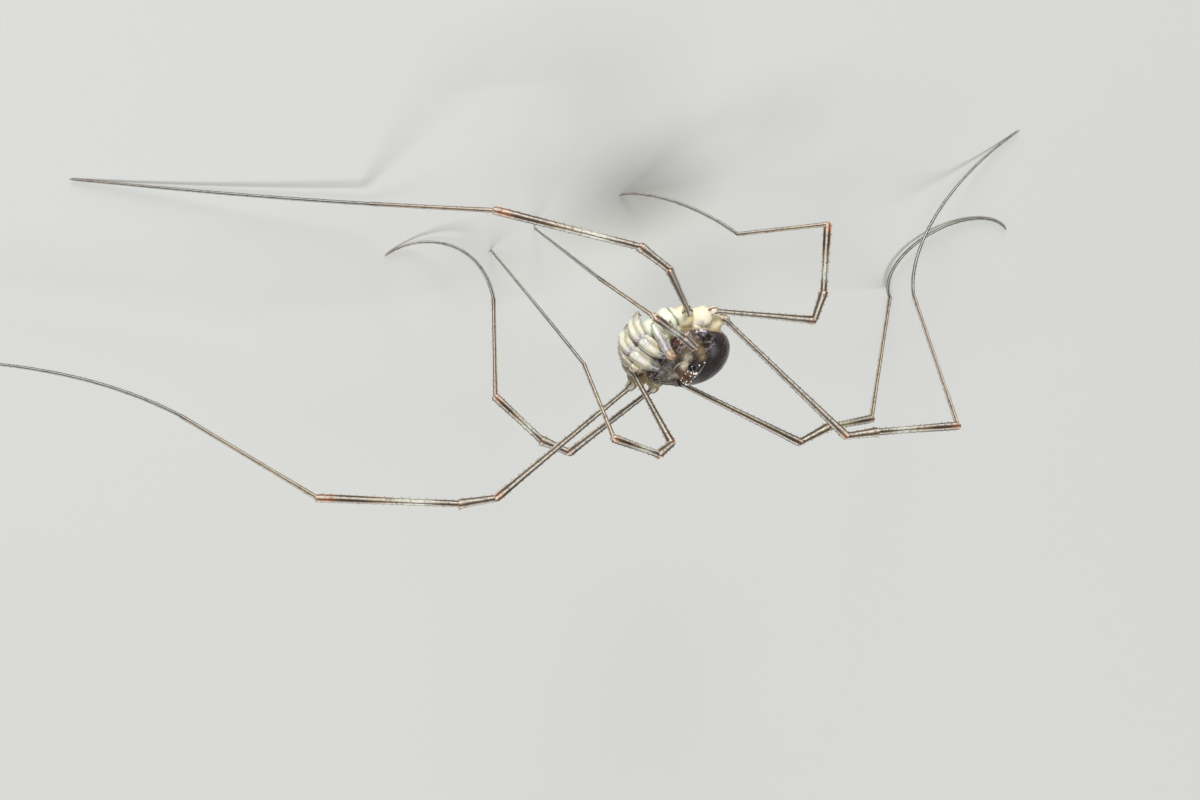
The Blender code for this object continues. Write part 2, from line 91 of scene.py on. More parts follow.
class Field(Enum):
    """A soft random field of the skin; the value is its grid cells in a millimetre and its seed."""

    FOLDS = (7.5, 1)
    FINE_FOLDS = (15.0, 2)
    REAR = (9.0, 3)
    KNOBS = (8.0, 4)
    SWELL = (4.0, 5)
    SHEEN = (9.0, 6)
    PALE = (10.0, 7)
    COXAL = (3.2, 8)
    BLOTCHES = (6.0, 9)


def srgb(red: int, green: int, blue: int) -> Triple:
    """Turn a screen colour, 0 to 255, into the linear colour that shaders use.

    Args:
        red: red value.
        green: green value.
        blue: blue value.

    Returns:
        The linear colour, 0 to 1.
    """
    values = np.array((red, green, blue)) / 255.0
    linear = np.where(values <= 0.04045, values / 12.92, ((values + 0.055) / 1.055) ** 2.4)
    return tuple(float(v) for v in linear)


@dataclass(frozen=True)
class Palette:
    """The animal's colours."""

    silver: Triple = srgb(222, 216, 204)
    grey_tan: Triple = srgb(128, 114, 94)
    tan: Triple = srgb(158, 136, 104)
    brown: Triple = srgb(94, 72, 52)
    dark: Triple = srgb(44, 32, 26)
    black_brown: Triple = srgb(30, 20, 17)
    orange: Triple = srgb(190, 126, 82)
    pink: Triple = srgb(186, 150, 122)
    green_white: Triple = srgb(226, 229, 210)
    steel: Triple = srgb(112, 116, 118)
    olive: Triple = srgb(112, 96, 44)
    grey_olive: Triple = srgb(146, 142, 112)
    cream: Triple = srgb(238, 230, 204)
    white: Triple = srgb(248, 246, 236)
    yellow: Triple = srgb(226, 204, 140)
    lavender: Triple = srgb(206, 198, 206)
    purple: Triple = srgb(34, 21, 25)
    rust: Triple = srgb(122, 66, 44)


INK = Palette()
HOOK_TONES: Tones = ((0.0, INK.rust), (1.0, INK.black_brown))


def ease(value: Array, low: float, high: float) -> Array:
    """Rise smoothly from 0 at low to 1 at high; low may be above high, and then it falls."""
    share = np.clip((value - low) / (high - low), 0.0, 1.0)
    return share * share * (3.0 - 2.0 * share)


def unit(vectors: Array) -> Array:
    """Return the vectors, along the last axis, at length one."""
    return vectors / np.maximum(np.linalg.norm(vectors, axis=-1, keepdims=True), 1e-12)


def blend(under: Array, over: Array, share: Array) -> Array:
    """Lay one colour over another by a share for each row."""
    return under * (1.0 - share[:, None]) + over * share[:, None]


def spot(place: Array, middle: Triple, size: float) -> Array:
    """Return a soft spot: 1 at its middle, falling with the square of the distance over its size."""
    return np.exp(-np.sum(((place - np.array(middle)) / size) ** 2, axis=1))


def strongest(place: Array, spots: Spots) -> Array:
    """Return the strongest of these soft spots at each place."""
    return np.max([spot(place, middle, size) for middle, size in spots], axis=0)


def bell(distance: Array, width: float) -> Array:
    """Return 1 at distance 0, falling with the square of the distance over the width."""
    return np.exp(-((distance / width) ** 2))


def cut(distance: Array, size: tuple[float, float]) -> Array:
    """Return the depth of a furrow of this depth and width at a distance from its middle."""
    return size[0] * bell(distance, size[1])


def cloud(place: Array, which: Field) -> Array:
    """Read a soft random field: random values on a grid, blended between the corners by smooth steps.

    Args:
        place: rows of places, in millimetres.
        which: the field that is read.

    Returns:
        One value for each place, 0 to 1.
    """
    scale, seed = which.value
    grid = np.random.default_rng(seed).random((CLOUD_CELLS, CLOUD_CELLS, CLOUD_CELLS))
    where = place * scale + CLOUD_SHIFT
    low = np.floor(where).astype(int)
    part = where - low
    part = part * part * (3.0 - 2.0 * part)
    total = np.zeros(len(place))
    for corner in np.ndindex(2, 2, 2):
        step = np.array(corner)
        weight = np.prod(np.where(step == 1, part, 1.0 - part), axis=1)
        total += weight * grid[tuple(((low + step) % CLOUD_CELLS).T)]
    return total


def crests(place: Array, which: Field) -> Array:
    """Read a field of sharp crests: 1 where the soft field crosses its middle, less on both sides."""
    return 1.0 - np.clip(np.abs(cloud(place, which) - 0.5) * CREST_SLOPE, 0.0, 1.0)


@dataclass
class Surface:
    """Closed surfaces as arrays, ready to become a mesh.

    Attributes:
        points: the vertices' places, in millimetres.
        quads: vertex numbers of the four-sided faces.
        triangles: vertex numbers of the three-sided faces.
        ring: for each vertex, cosine and sine of its angle round the path, and its distance along it.
        tone: each vertex's own colour.
        quad_parts: what each four-sided face is made of.
        triangle_parts: what each three-sided face is made of.
    """

    points: Array
    quads: Array
    triangles: Array
    ring: Array
    tone: Array
    quad_parts: Array
    triangle_parts: Array

    @staticmethod
    def join(surfaces: list["Surface"]) -> "Surface":
        """Put several surfaces into one; vertex numbers in faces move up by the vertices before them.

        Args:
            surfaces: the surfaces to put together.

        Returns:
            One surface that holds them all.
        """
        starts = np.cumsum([0] + [len(s.points) for s in surfaces])
        whole = {}
        for name in (entry.name for entry in fields(Surface)):
            arrays = [getattr(surface, name) for surface in surfaces]
            if name in ("quads", "triangles"):
                arrays = [array + start for array, start in zip(arrays, starts)]
            whole[name] = np.concatenate(arrays)
        return Surface(**whole)

    def flipped(self) -> "Surface":
        """Turn every face over, for a surface made in a mirrored frame."""
        self.quads = self.quads[:, ::-1]
        self.triangles = self.triangles[:, ::-1]
        return self

    def mesh(self, name: str, scale: float = MM) -> bpy.types.Mesh:
        """Make a Blender mesh with the ring and tone attributes.

        Args:
            name: the mesh's name.
            scale: what one millimetre becomes.

        Returns:
            The mesh, shaded smooth.
        """
        mesh = bpy.data.meshes.new(name)
        mesh.from_pydata((self.points * scale).tolist(), [], self.quads.tolist() + self.triangles.tolist())
        mesh.polygons.foreach_set("material_index", np.concatenate([self.quad_parts, self.triangle_parts]))
        mesh.shade_smooth()
        paint(mesh, self.ring, self.tone)
        return mesh

    def piece(self, name: str, finishes: list[bpy.types.Material]) -> bpy.types.Object:
        """Make a scene object with its materials.

        Args:
            name: the piece's name.
            finishes: materials in the order of Part.

        Returns:
            The object, at the origin.
        """
        return dressed(self.mesh(name), name, finishes)


def paint(mesh: bpy.types.Mesh, ring: Array, tone: Array) -> None:
    """Write the ring and tone of every vertex into a mesh.

    Args:
        mesh: the mesh.
        ring: cosine, sine and distance for each vertex.
        tone: colour for each vertex.
    """
    rings = mesh.attributes.new("ring", "FLOAT_VECTOR", "POINT")
    rings.data.foreach_set("vector", ring.astype(np.float32).ravel())
    tones = mesh.attributes.new("tone", "FLOAT_COLOR", "POINT")
    rgba = np.concatenate([tone, np.ones((len(tone), 1))], axis=1)
    tones.data.foreach_set("color", rgba.astype(np.float32).ravel())


def dressed(mesh: bpy.types.Mesh, name: str, finishes: list[bpy.types.Material]) -> bpy.types.Object:
    """Link a mesh into the scene as an object with these materials.

    Args:
        mesh: the mesh.
        name: the piece's name.
        finishes: the materials, in order.

    Returns:
        The object, at the origin.
    """
    for finish in finishes:
        mesh.materials.append(finish)
    piece = bpy.data.objects.new(name, mesh)
    bpy.context.scene.collection.objects.link(piece)
    return piece


@dataclass(frozen=True)
class BodyFrame:
    """The body's place and lean: nose up by the pitch, right side down by the roll, in degrees."""

    centre: Triple = (-0.15, 5.54, 5.33)
    pitch: float = 8.4
    roll: float = 8.3

    def axes(self) -> Array:
        """Return the directions ahead, right and up of the body, one in each row."""
        p, r = math.radians(-self.pitch), math.radians(-self.roll)
        pitch = np.array(((1, 0, 0), (0, math.cos(p), -math.sin(p)), (0, math.sin(p), math.cos(p))))
        roll = np.array(((math.cos(r), 0, math.sin(r)), (0, 1, 0), (-math.sin(r), 0, math.cos(r))))
        plain = np.array(((0.0, -1.0, 0.0), (-1.0, 0.0, 0.0), (0.0, 0.0, 1.0)))
        return (pitch @ roll @ plain).T

    def place(self, places: Array, side: Side = Side.RIGHT) -> Array:
        """Turn places given as (ahead, out, up) into places in the model's frame.

        Args:
            places: one place or rows of places, in millimetres.
            side: the side that out is measured towards.

        Returns:
            The same places in the model's frame.
        """
        local = np.asarray(places, float) * np.array((1.0, side.value, 1.0))
        return local @ self.axes() + np.array(self.centre)

    def local(self, points: Array) -> Array:
        """Turn places in the model's frame into (ahead, right, up) on the body."""
        return (points - np.array(self.centre)) @ self.axes().T


BODY = BodyFrame()


@dataclass
class Path:
    """A smooth line through space, held as many close points."""

    points: Array

    def __post_init__(self) -> None:
        """Work out the distance of every point from the start."""
        steps = np.linalg.norm(np.diff(self.points, axis=0), axis=1)
        self.reach = np.concatenate(([0.0], np.cumsum(steps)))

    @property
    def length(self) -> float:
        """Return the whole length."""
        return float(self.reach[-1])

    def at(self, distance: Array) -> Array:
        """Return the places at these distances from the start."""
        return np.stack([np.interp(distance, self.reach, self.points[:, i]) for i in range(3)], axis=-1)

    @staticmethod
    def through(stations: Array, count: int = 96) -> "Path":
        """Draw a path through stations: each point is their mean, weighted by a spline's basis.

        Args:
            stations: the places to pass, at least two.
            count: how many points the path holds.

        Returns:
            The path. With two stations it is straight; with more, a Catmull-Rom spline joins them.
        """
        stations = np.asarray(stations, float)
        if len(stations) == 2:
            return Path(stations[0] + np.linspace(0.0, 1.0, count)[:, None] * (stations[1] - stations[0]))
        ends = np.concatenate(([2 * stations[0] - stations[1]], stations, [2 * stations[-1] - stations[-2]]))
        where = np.linspace(0.0, len(stations) - 1 - 1e-9, count)
        index = where.astype(int)
        t = (where - index)[:, None]
        a, b, c, d = (ends[index + k] for k in range(4))
        return Path(
            0.5 * (2 * b + (c - a) * t + (2 * a - 5 * b + 4 * c - d) * t**2 + (3 * b - a - 3 * c + d) * t**3)
        )


def profile(shares: Array, knots: Knots, soft: float = 0.02) -> Array:
    """Read a value that runs straight between knots, with its corners rounded off.

    Args:
        shares: where to read it, 0 to 1 along the piece.
        knots: pairs of share and value.
        soft: how far a corner's rounding reaches, as a share.

    Returns:
        The mean of the broken line over five places within the rounding's reach.
    """
    where, values = zip(*knots)
    near = shares[:, None] + soft * np.linspace(-1.0, 1.0, 5)
    return np.interp(near, where, values).mean(axis=1)


def ramp(shares: Array, knots: Tones) -> Array:
    """Read a colour that runs straight between knots."""
    where, colours = zip(*knots)
    return np.stack([np.interp(shares, where, [c[i] for c in colours]) for i in range(3)], axis=-1)


def tinted(knots: Tones, shade: Triple) -> Tones:
    """Return colour knots with every colour multiplied by the shade."""
    return tuple((share, tuple(c * s for c, s in zip(colour, shade))) for share, colour in knots)


def stations(length: float, cap: float, spacing: float, cap_steps: int = 5) -> Array:
    """Return distances along a piece with round ends: close together in the caps, even between them.

    Args:
        length: the piece's whole length.
        cap: how far the rounding of each end reaches.
        spacing: distance between stations of the middle.
        cap_steps: how many stations round each end off.

    Returns:
        The distances, from just inside one end to just inside the other.
    """
    turn = np.linspace(0.0, math.pi / 2, cap_steps + 1)[1:]
    start = cap * (1.0 - np.cos(turn))
    middle = np.linspace(cap, length - cap, max(3, int((length - 2 * cap) / spacing)))[1:-1]
    return np.concatenate((start, middle, length - start[::-1]))


def round_ends(distance: Array, length: float, cap: float) -> Array:
    """Return the share of full thickness that a half-ball end leaves: the square root of 1 - (1 - x)^2."""
    near = np.clip(np.minimum(distance, length - distance) / cap, 0.0, 1.0)
    return np.sqrt(1.0 - (1.0 - near) ** 2)


def sweep(
    path: Path,
    distance: Array,
    radii: Array,
    reference: Array,
    tone: Array,
    sides: int = 16,
    flat: float = 1.0,
    ridges: float = 0.0,
    part: Part = Part.SHELL,
) -> Surface:
    """Carry a ring along a path and close both its ends with a pole.

    A ring's point is the path's place plus the radius times (cos angle * up + flat * sin angle * side),
    where up is the reference made square to the path, and side is square to both. The radius swells by
    the share of ridges five times round, which gives the section five blunt edges.

    Args:
        path: the middle line.
        distance: where the rings stand along it.
        radii: the radius of each ring.
        reference: a direction that marks angle 0, never along the path.
        tone: one colour for each ring.
        sides: how many points a ring has.
        flat: width of the ring against its height.
        ridges: how far the five edges stand out, as a share of the radius.
        part: what the surface is made of.

    Returns:
        The closed surface.
    """
    centre = path.at(distance)
    step = 0.4 * float(np.min(np.diff(distance)))
    tangent = unit(path.at(distance + step) - path.at(distance - step))
    side = unit(np.cross(tangent, reference))
    up = np.cross(side, tangent)
    side = np.cross(tangent, up)
    angle = np.linspace(0.0, 2.0 * math.pi, sides, endpoint=False)
    cosine, sine = np.cos(angle), np.sin(angle)
    swell = (1.0 + ridges * np.cos(5.0 * angle))[None, :, None]
    around = cosine[None, :, None] * up[:, None] + flat * sine[None, :, None] * side[:, None]
    rings = centre[:, None] + radii[:, None, None] * swell * around
    count = len(distance)
    poles = path.at(np.array((0.0, path.length)))
    points = np.concatenate((rings.reshape(-1, 3), poles))
    row = np.arange(count - 1)[:, None] * sides
    here = np.arange(sides)[None, :]
    after = (here + 1) % sides
    corners = (row + here, row + after, row + sides + after, row + sides + here)
    quads = np.stack(corners, axis=-1).reshape(-1, 4)
    first, last = count * sides, count * sides + 1
    here, after = here[0], after[0]
    top = (count - 1) * sides
    fans = ((np.full(sides, first), after, here), (np.full(sides, last), top + here, top + after))
    triangles = np.concatenate([np.stack(fan, axis=-1) for fan in fans])
    ring = np.stack((np.tile(cosine, count), np.tile(sine, count), np.repeat(distance, sides)), axis=-1)
    ring = np.concatenate((ring, ((0.0, 0.0, 0.0), (0.0, 0.0, path.length))))
    tones = np.concatenate((np.repeat(tone, sides, axis=0), tone[:1], tone[-1:]))
    parts = (np.full(len(faces), part.value) for faces in (quads, triangles))
    return Surface(points, quads, triangles, ring, tones, *parts)


def limb(
    path: Path,
    thickness: Knots,
    colours: Tones,
    reference: Array,
    spacing: float = 0.06,
    cap: float = 0.06,
    **shape: float,
) -> Surface:
    """Make one article: a round-ended sweep whose radius and colour follow knots along its length.

    Args:
        path: its middle line.
        thickness: pairs of share and radius.
        colours: pairs of share and colour.
        reference: the direction of its back.
        spacing: distance between rings.
        cap: reach of the rounding at the ends.
        shape: further settings of sweep.

    Returns:
        The closed surface.
    """
    distance = stations(path.length, cap, spacing)
    shares = distance / path.length
    radii = profile(shares, thickness) * round_ends(distance, path.length, cap)
    return sweep(path, distance, radii, reference, ramp(shares, colours), **shape)


def ball(centre: Array, half: Array, axes: Array, tone: Triple, rows: int = 20, sides: int = 28) -> Surface:
    """Make a ball or egg: a half circle of rings about the first axis, stretched to the half sizes.

    Args:
        centre: its middle.
        half: its three half sizes, along the axes.
        axes: three unit directions, one in each row; the poles lie on the first.
        tone: its colour.
        rows: number of rings from pole to pole.
        sides: points in a ring.

    Returns:
        The closed surface.
    """
    line = Path.through(np.array(((-1.0, 0.0, 0.0), (1.0, 0.0, 0.0))))
    turn = np.linspace(0.0, math.pi, rows + 2)[1:-1]
    tones = np.tile(np.array(tone), (rows, 1))
    plain = sweep(line, 1.0 - np.cos(turn), np.sin(turn), UP, tones, sides)
    plain.points = centre + (plain.points * half) @ axes
    return plain.flipped() if np.linalg.det(axes) < 0.0 else plain


def spikes(roots: Array, tips: Array, radius: Array, tone: Array, sides: int, part: Part) -> Surface:
    """Make closed cones, one from each root to its tip.

    A cone's foot is a ring round the root, square to the line to the tip; its faces join the ring to the
    tip and to the root.

    Args:
        roots: middle of each foot.
        tips: the points.
        radius: radius of each foot.
        tone: colour of each cone.
        sides: how many faces go round.
        part: what the cones are made of.

    Returns:
        All the cones as one surface.
    """
    count = len(roots)
    axis = unit(tips - roots)
    helper = np.where(np.abs(axis[:, 2:]) < 0.8, UP, np.array((1.0, 0.0, 0.0)))
    first = unit(np.cross(axis, helper))
    second = np.cross(axis, first)
    angle = np.linspace(0.0, 2.0 * math.pi, sides, endpoint=False)[None, :, None]
    around = np.cos(angle) * first[:, None] + np.sin(angle) * second[:, None]
    rings = roots[:, None] + radius[:, None, None] * around
    points = np.concatenate((rings, tips[:, None], roots[:, None]), axis=1).reshape(-1, 3)
    size = sides + 2
    start = np.arange(count)[:, None] * size
    here = start + np.arange(sides)
    after = start + (np.arange(sides) + 1) % sides
    tip, root = (np.broadcast_to(start + sides + k, here.shape) for k in (0, 1))
    fans = ((here, after, tip), (root, after, here))
    triangles = np.concatenate([np.stack(fan, axis=-1).reshape(-1, 3) for fan in fans])
    return Surface(
        points,
        np.zeros((0, 4), int),
        triangles,
        np.tile((1.0, 0.0, 0.0), (count * size, 1)),
        np.repeat(tone, size, axis=0),
        np.zeros(0, int),
        np.full(len(triangles), part.value),
    )


@dataclass(frozen=True)
class Hair:
    """One kind of hair or spine.

    Attributes:
        length: mean length.
        radius: radius of the foot.
        lean: slope towards the far end.
        tone: its colour.
        sides: faces round it.
        angles: angles of the rows that it stands in, in degrees; none means anywhere.
        span: the share of the article's length that carries it.
        part: what it is made of.
    """

    length: float
    radius: float
    lean: float
    tone: Triple
    sides: int = 3
    angles: tuple[float, ...] = ()
    span: tuple[float, float] = (0.05, 0.95)
    part: Part = Part.SPINE


def bristles(surface: Surface, rng: np.random.Generator, count: int, hair: Hair) -> Surface:
    """Set hairs or spines on a swept surface, leaning towards its far end.

    The rows of the ring grid give each spine its place: a point of the grid is drawn at random, or from the
    grid lines nearest to the given angles, and the spine stands on it along the outward direction plus lean
    times the direction along the path.

    Args:
        surface: what sweep has made, with its two poles last.
        rng: the source of chance.
        count: how many spines.
        hair: their kind.

    Returns:
        The spines as one surface.
    """
    ring = surface.ring[:-2]
    sides_round = int(np.argmax(ring[:, 2] > ring[0, 2]))
    grid = surface.points[:-2].reshape(-1, sides_round, 3)
    rows = np.arange(len(grid))
    reach = ring.reshape(-1, sides_round, 3)[:, 0, 2] / surface.ring[-1, 2]
    allowed = rows[(reach > hair.span[0]) & (reach < hair.span[1]) & (rows < len(grid) - 1)]
    if hair.angles:
        lines = np.round(np.array(hair.angles) / 360.0 * sides_round).astype(int) % sides_round
        each = max(1, count // len(lines))
        jitter = rng.uniform(-ROW_JITTER, ROW_JITTER, (len(lines), each))
        picks = np.linspace(0, len(allowed) - 1, each)[None, :] + jitter
        row = allowed[np.clip(np.round(picks), 0, len(allowed) - 1).astype(int)].ravel()
        column = np.repeat(lines, each)
    else:
        row = rng.choice(allowed, count)
        column = rng.integers(0, sides_round, count)
    place = grid[row, column]
    centre = grid[row].mean(axis=1)
    outward = unit(place - centre)
    along = unit(grid[row + 1].mean(axis=1) - centre)
    size = hair.length * rng.uniform(*LENGTH_SPREAD, len(row))[:, None]
    tips = place + unit(outward + hair.lean * along) * size
    roots = place - outward * hair.radius * ROOT_SUNK
    colours = np.array(hair.tone) * rng.uniform(*TONE_SPREAD, len(row))[:, None]
    return spikes(roots, tips, np.full(len(row), hair.radius), colours, hair.sides, hair.part)


class Graph:
    """Adds shader nodes to a tree and links them; a value may be a number, a colour or another socket."""

    def __init__(self, tree: bpy.types.NodeTree) -> None:
        """Start on a tree."""
        self.tree = tree

    def add(self, kind: str, **settings: object) -> bpy.types.Node:
        """Add a node and set its properties."""
        node = self.tree.nodes.new(kind)
        for name, value in settings.items():
            setattr(node, name, value)
        return node

    def feed(self, socket: Socket, value: object) -> None:
        """Link a socket to another, or set it to a constant."""
        if isinstance(value, bpy.types.NodeSocket):
            self.tree.links.new(value, socket)
        elif isinstance(value, tuple) and socket.type == "RGBA":
            socket.default_value = (*value, 1.0)
        else:
            socket.default_value = value

    def maths(self, operation: str, first: object, second: object = 0.0) -> Socket:
        """Work out one operation on two values."""
        node = self.add("ShaderNodeMath", operation=operation)
        self.feed(node.inputs[0], first)
        self.feed(node.inputs[1], second)
        return node.outputs[0]

    def times(self, first: object, second: object) -> Socket:
        """Multiply two values."""
        return self.maths("MULTIPLY", first, second)

    def plus(self, first: object, second: object) -> Socket:
        """Add two values."""
        return self.maths("ADD", first, second)

    def mix(self, share: object, under: object, over: object) -> Socket:
        """Lay one colour over another."""
        node = self.add("ShaderNodeMix", data_type="RGBA")
        for place, value in ((0, share), (6, under), (7, over)):
            self.feed(node.inputs[place], value)
        return node.outputs[2]

    def step(self, value: object, low: float, high: float, start: float = 0.0, end: float = 1.0) -> Socket:
        """Rise smoothly from start to end while the value goes from low to high."""
        node = self.add("ShaderNodeMapRange", interpolation_type="SMOOTHSTEP")
        for socket, number in zip(node.inputs, (value, low, high, start, end)):
            self.feed(socket, number)
        return node.outputs[0]

    def noise(self, place: Socket, scale: object, detail: float = 3.0) -> Socket:
        """Read a cloudy pattern, 0 to 1."""
        node = self.add("ShaderNodeTexNoise")
        self.feed(node.inputs["Vector"], place)
        self.feed(node.inputs["Scale"], scale)
        node.inputs["Detail"].default_value = detail
        return node.outputs[0]

    def cells(self, place: Socket, scale: object) -> Socket:
        """Read the distance to the nearest of many scattered points."""
        node = self.add("ShaderNodeTexVoronoi")
        self.feed(node.inputs["Vector"], place)
        self.feed(node.inputs["Scale"], scale)
        return node.outputs["Distance"]

    def attribute(self, name: str) -> bpy.types.Node:
        """Read one of the mesh's own attributes."""
        return self.add("ShaderNodeAttribute", attribute_name=name)

    def place(self) -> Socket:
        """Return the place on the piece."""
        return self.add("ShaderNodeTexCoord").outputs["Object"]

    def use(self, group: bpy.types.NodeTree, **values: object) -> bpy.types.Node:
        """Place a node group and feed its inputs by name."""
        node = self.add("ShaderNodeGroup", node_tree=group)
        for name, value in values.items():
            self.feed(node.inputs[name], value)
        return node


def new_group(
    name: str, inputs: dict[str, str], outputs: dict[str, str]
) -> tuple[Graph, bpy.types.Node, bpy.types.Node]:
    """Start a shader node group.

    Args:
        name: the group's name.
        inputs: kind of socket for each input's name.
        outputs: kind of socket for each output's name.

    Returns:
        The graph to fill, its input node and its output node.
    """
    tree = bpy.data.node_groups.new(name, "ShaderNodeTree")
    for way, sockets in (("INPUT", inputs), ("OUTPUT", outputs)):
        for label, kind in sockets.items():
            tree.interface.new_socket(name=label, in_out=way, socket_type="NodeSocket" + kind)
    graph = Graph(tree)
    return graph, graph.add("NodeGroupInput"), graph.add("NodeGroupOutput")


class Effects:
    """The patterns that several finishes share, each a node group."""

    def __init__(self) -> None:
        """Build the groups."""
        self.mottle = self.make_mottle()
        self.grain = self.make_grain()

    @staticmethod
    def make_mottle() -> bpy.types.NodeTree:
        """Build blotches with soft edges: two sizes of cloud, cut between two levels."""
        graph, given, out = new_group(
            "mottle", {"Place": "Vector", "Scale": "Float", "Cut": "Float"}, {"Mask": "Float"}
        )
        place, scale, cut = (given.outputs[name] for name in ("Place", "Scale", "Cut"))
        big, small = graph.noise(place, scale), graph.noise(place, graph.times(scale, 2.7))
        above = graph.maths("SUBTRACT", graph.plus(graph.times(big, 0.65), graph.times(small, 0.35)), cut)
        graph.feed(out.inputs["Mask"], graph.step(above, -0.03, 0.05))
        return graph.tree

    @staticmethod
    def make_grain() -> bpy.types.NodeTree:
        """Build the cuticle's fine relief: small domes between furrows, over low waves."""
        graph, given, out = new_group("grain", {"Place": "Vector", "Scale": "Float"}, {"Height": "Float"})
        place, scale = given.outputs["Place"], given.outputs["Scale"]
        waves = graph.noise(place, graph.times(scale, 0.3))
        graph.feed(out.inputs["Height"], graph.plus(graph.times(graph.cells(place, scale), -0.6), waves))
        return graph.tree


class Canvas(Graph):
    """A material's graph, with what every finish of the animal reads from its piece."""

    def __init__(self, tree: bpy.types.NodeTree, effects: Effects) -> None:
        """Read the place and the painted tone."""
        super().__init__(tree)
        self.effects = effects
        self.here = self.place()
        self.tone = self.attribute("tone").outputs["Color"]

    def ring(self) -> bpy.types.bpy_prop_collection:
        """Return the three numbers of the ring attribute."""
        split = self.add("ShaderNodeSeparateXYZ")
        self.feed(split.inputs[0], self.attribute("ring").outputs["Vector"])
        return split.outputs

    def wave(self, operation: str, bend_scale: float, bend: float) -> Socket:
        """Return a wave that runs five times round an article, bent by a cloudy pattern."""
        ring = self.ring()
        angle = self.maths("ARCTAN2", ring[1], ring[0])
        turned = self.plus(self.times(angle, 5.0), self.times(self.noise(self.here, bend_scale), bend))
        return self.maths(operation, turned)

    def blotch(self, scale: float, cut: float) -> Socket:
        """Return the shared blotches at this scale."""
        return self.use(self.effects.mottle, Place=self.here, Scale=scale, Cut=cut).outputs[0]

    def domes(self, scale: float) -> Socket:
        """Return the height of the shared fine grain at this scale."""
        return self.use(self.effects.grain, Place=self.here, Scale=scale).outputs[0]


@dataclass(frozen=True)
class Finish:
    """A material: its constants, and the colour, roughness and relief that each kind of finish adds.

    Attributes:
        name: the material's name.
        roughness: mean roughness.
        coat: weight of the clear coat.
        depth: weight of the light that goes in.
        relief: strength of the fine relief.
        grain: scale of the fine grain, in cells to a metre.
        specular: specular level.
        coat_roughness: roughness of the clear coat.
        reach: how far light goes in, in millimetres.
        relief_height: height of the fine relief, in millimetres.
    """

    name: str
    roughness: float
    coat: float = 0.0
    depth: float = 0.0
    relief: float = 0.3
    grain: float = 22000.0
    specular: float = 0.5
    coat_roughness: float = 0.12
    reach: float = 0.15
    relief_height: float = 0.02

    def look(self, on: Canvas) -> Look:
        """Return the base colour, the roughness and the height of the fine relief."""
        raise NotImplementedError

    def build(self, effects: Effects) -> bpy.types.Material:
        """Build the material: constants on the shader's own sockets, and what look gives.

        Args:
            effects: the shared groups.

        Returns:
            The material.
        """
        material = bpy.data.materials.new(self.name)
        material.use_nodes = True
        shader = material.node_tree.nodes["Principled BSDF"]
        constants = {
            "Roughness": self.roughness,
            "Coat Weight": self.coat,
            "Coat Roughness": self.coat_roughness,
            "Specular IOR Level": self.specular,
            "Subsurface Weight": self.depth,
            "Subsurface Radius": (1.0, 0.7, 0.4),
            "Subsurface Scale": self.reach * MM,
        }
        for name, value in constants.items():
            shader.inputs[name].default_value = value
        canvas = Canvas(material.node_tree, effects)
        colour, rough, height = self.look(canvas)
        bump = canvas.add("ShaderNodeBump")
        bump.inputs["Strength"].default_value = self.relief
        bump.inputs["Distance"].default_value = self.relief_height * MM
        canvas.feed(bump.inputs["Height"], height)
        for name, socket in (("Base Color", colour), ("Roughness", rough), ("Normal", bump.outputs[0])):
            canvas.feed(shader.inputs[name], socket)
        return material


@dataclass(frozen=True)
class LegFinish(Finish):
    """Leg cuticle: its own tone, with pale shiny stripes, dark lines between them and dark specks."""

    stripe: Triple = INK.silver
    line: Triple = INK.dark
    stripe_share: float = 0.8
    line_share: float = 0.85
    speck_share: float = 0.5

    def look(self, on: Canvas) -> Look:
        """Lay stripes, lines and specks of two sizes over the tone; lines and fine specks are duller."""
        wave = on.wave("COSINE", 2500.0, 0.9)
        lines = on.times(on.step(wave, -0.45, -0.9), self.line_share)
        specks, fine = on.blotch(8000.0, 0.56), on.blotch(20000.0, 0.55)
        colour = on.mix(on.times(on.step(wave, 0.1, 0.7), self.stripe_share), on.tone, self.stripe)
        for mask in (lines, on.times(specks, self.speck_share), on.times(fine, self.speck_share)):
            colour = on.mix(mask, colour, self.line)
        rough = on.plus(on.plus(on.times(lines, 0.2), self.roughness), on.times(fine, 0.15))
        return colour, rough, on.plus(on.domes(self.grain), on.times(wave, 0.3))


@dataclass(frozen=True)
class SkinFinish(Finish):
    """Body cuticle: painted tones, broken up by pale spots and brown dots, glossy where it is wet."""

    def look(self, on: Canvas) -> Look:
        """Use the three masks that the skin carries: spots, dots and wet gloss."""
        masks = on.ring()
        spots, dots = on.blotch(6500.0, 0.53), on.blotch(16000.0, 0.6)
        colour = on.mix(on.times(spots, masks[0]), on.tone, INK.tan)
        colour = on.mix(on.times(dots, on.times(masks[1], 0.6)), colour, INK.brown)
        rough = on.plus(on.times(on.noise(on.here, 9000.0), 0.2), self.roughness - 0.1)
        return colour, on.times(rough, on.step(masks[2], 0.0, 1.0, 1.0, 0.4)), on.domes(self.grain)


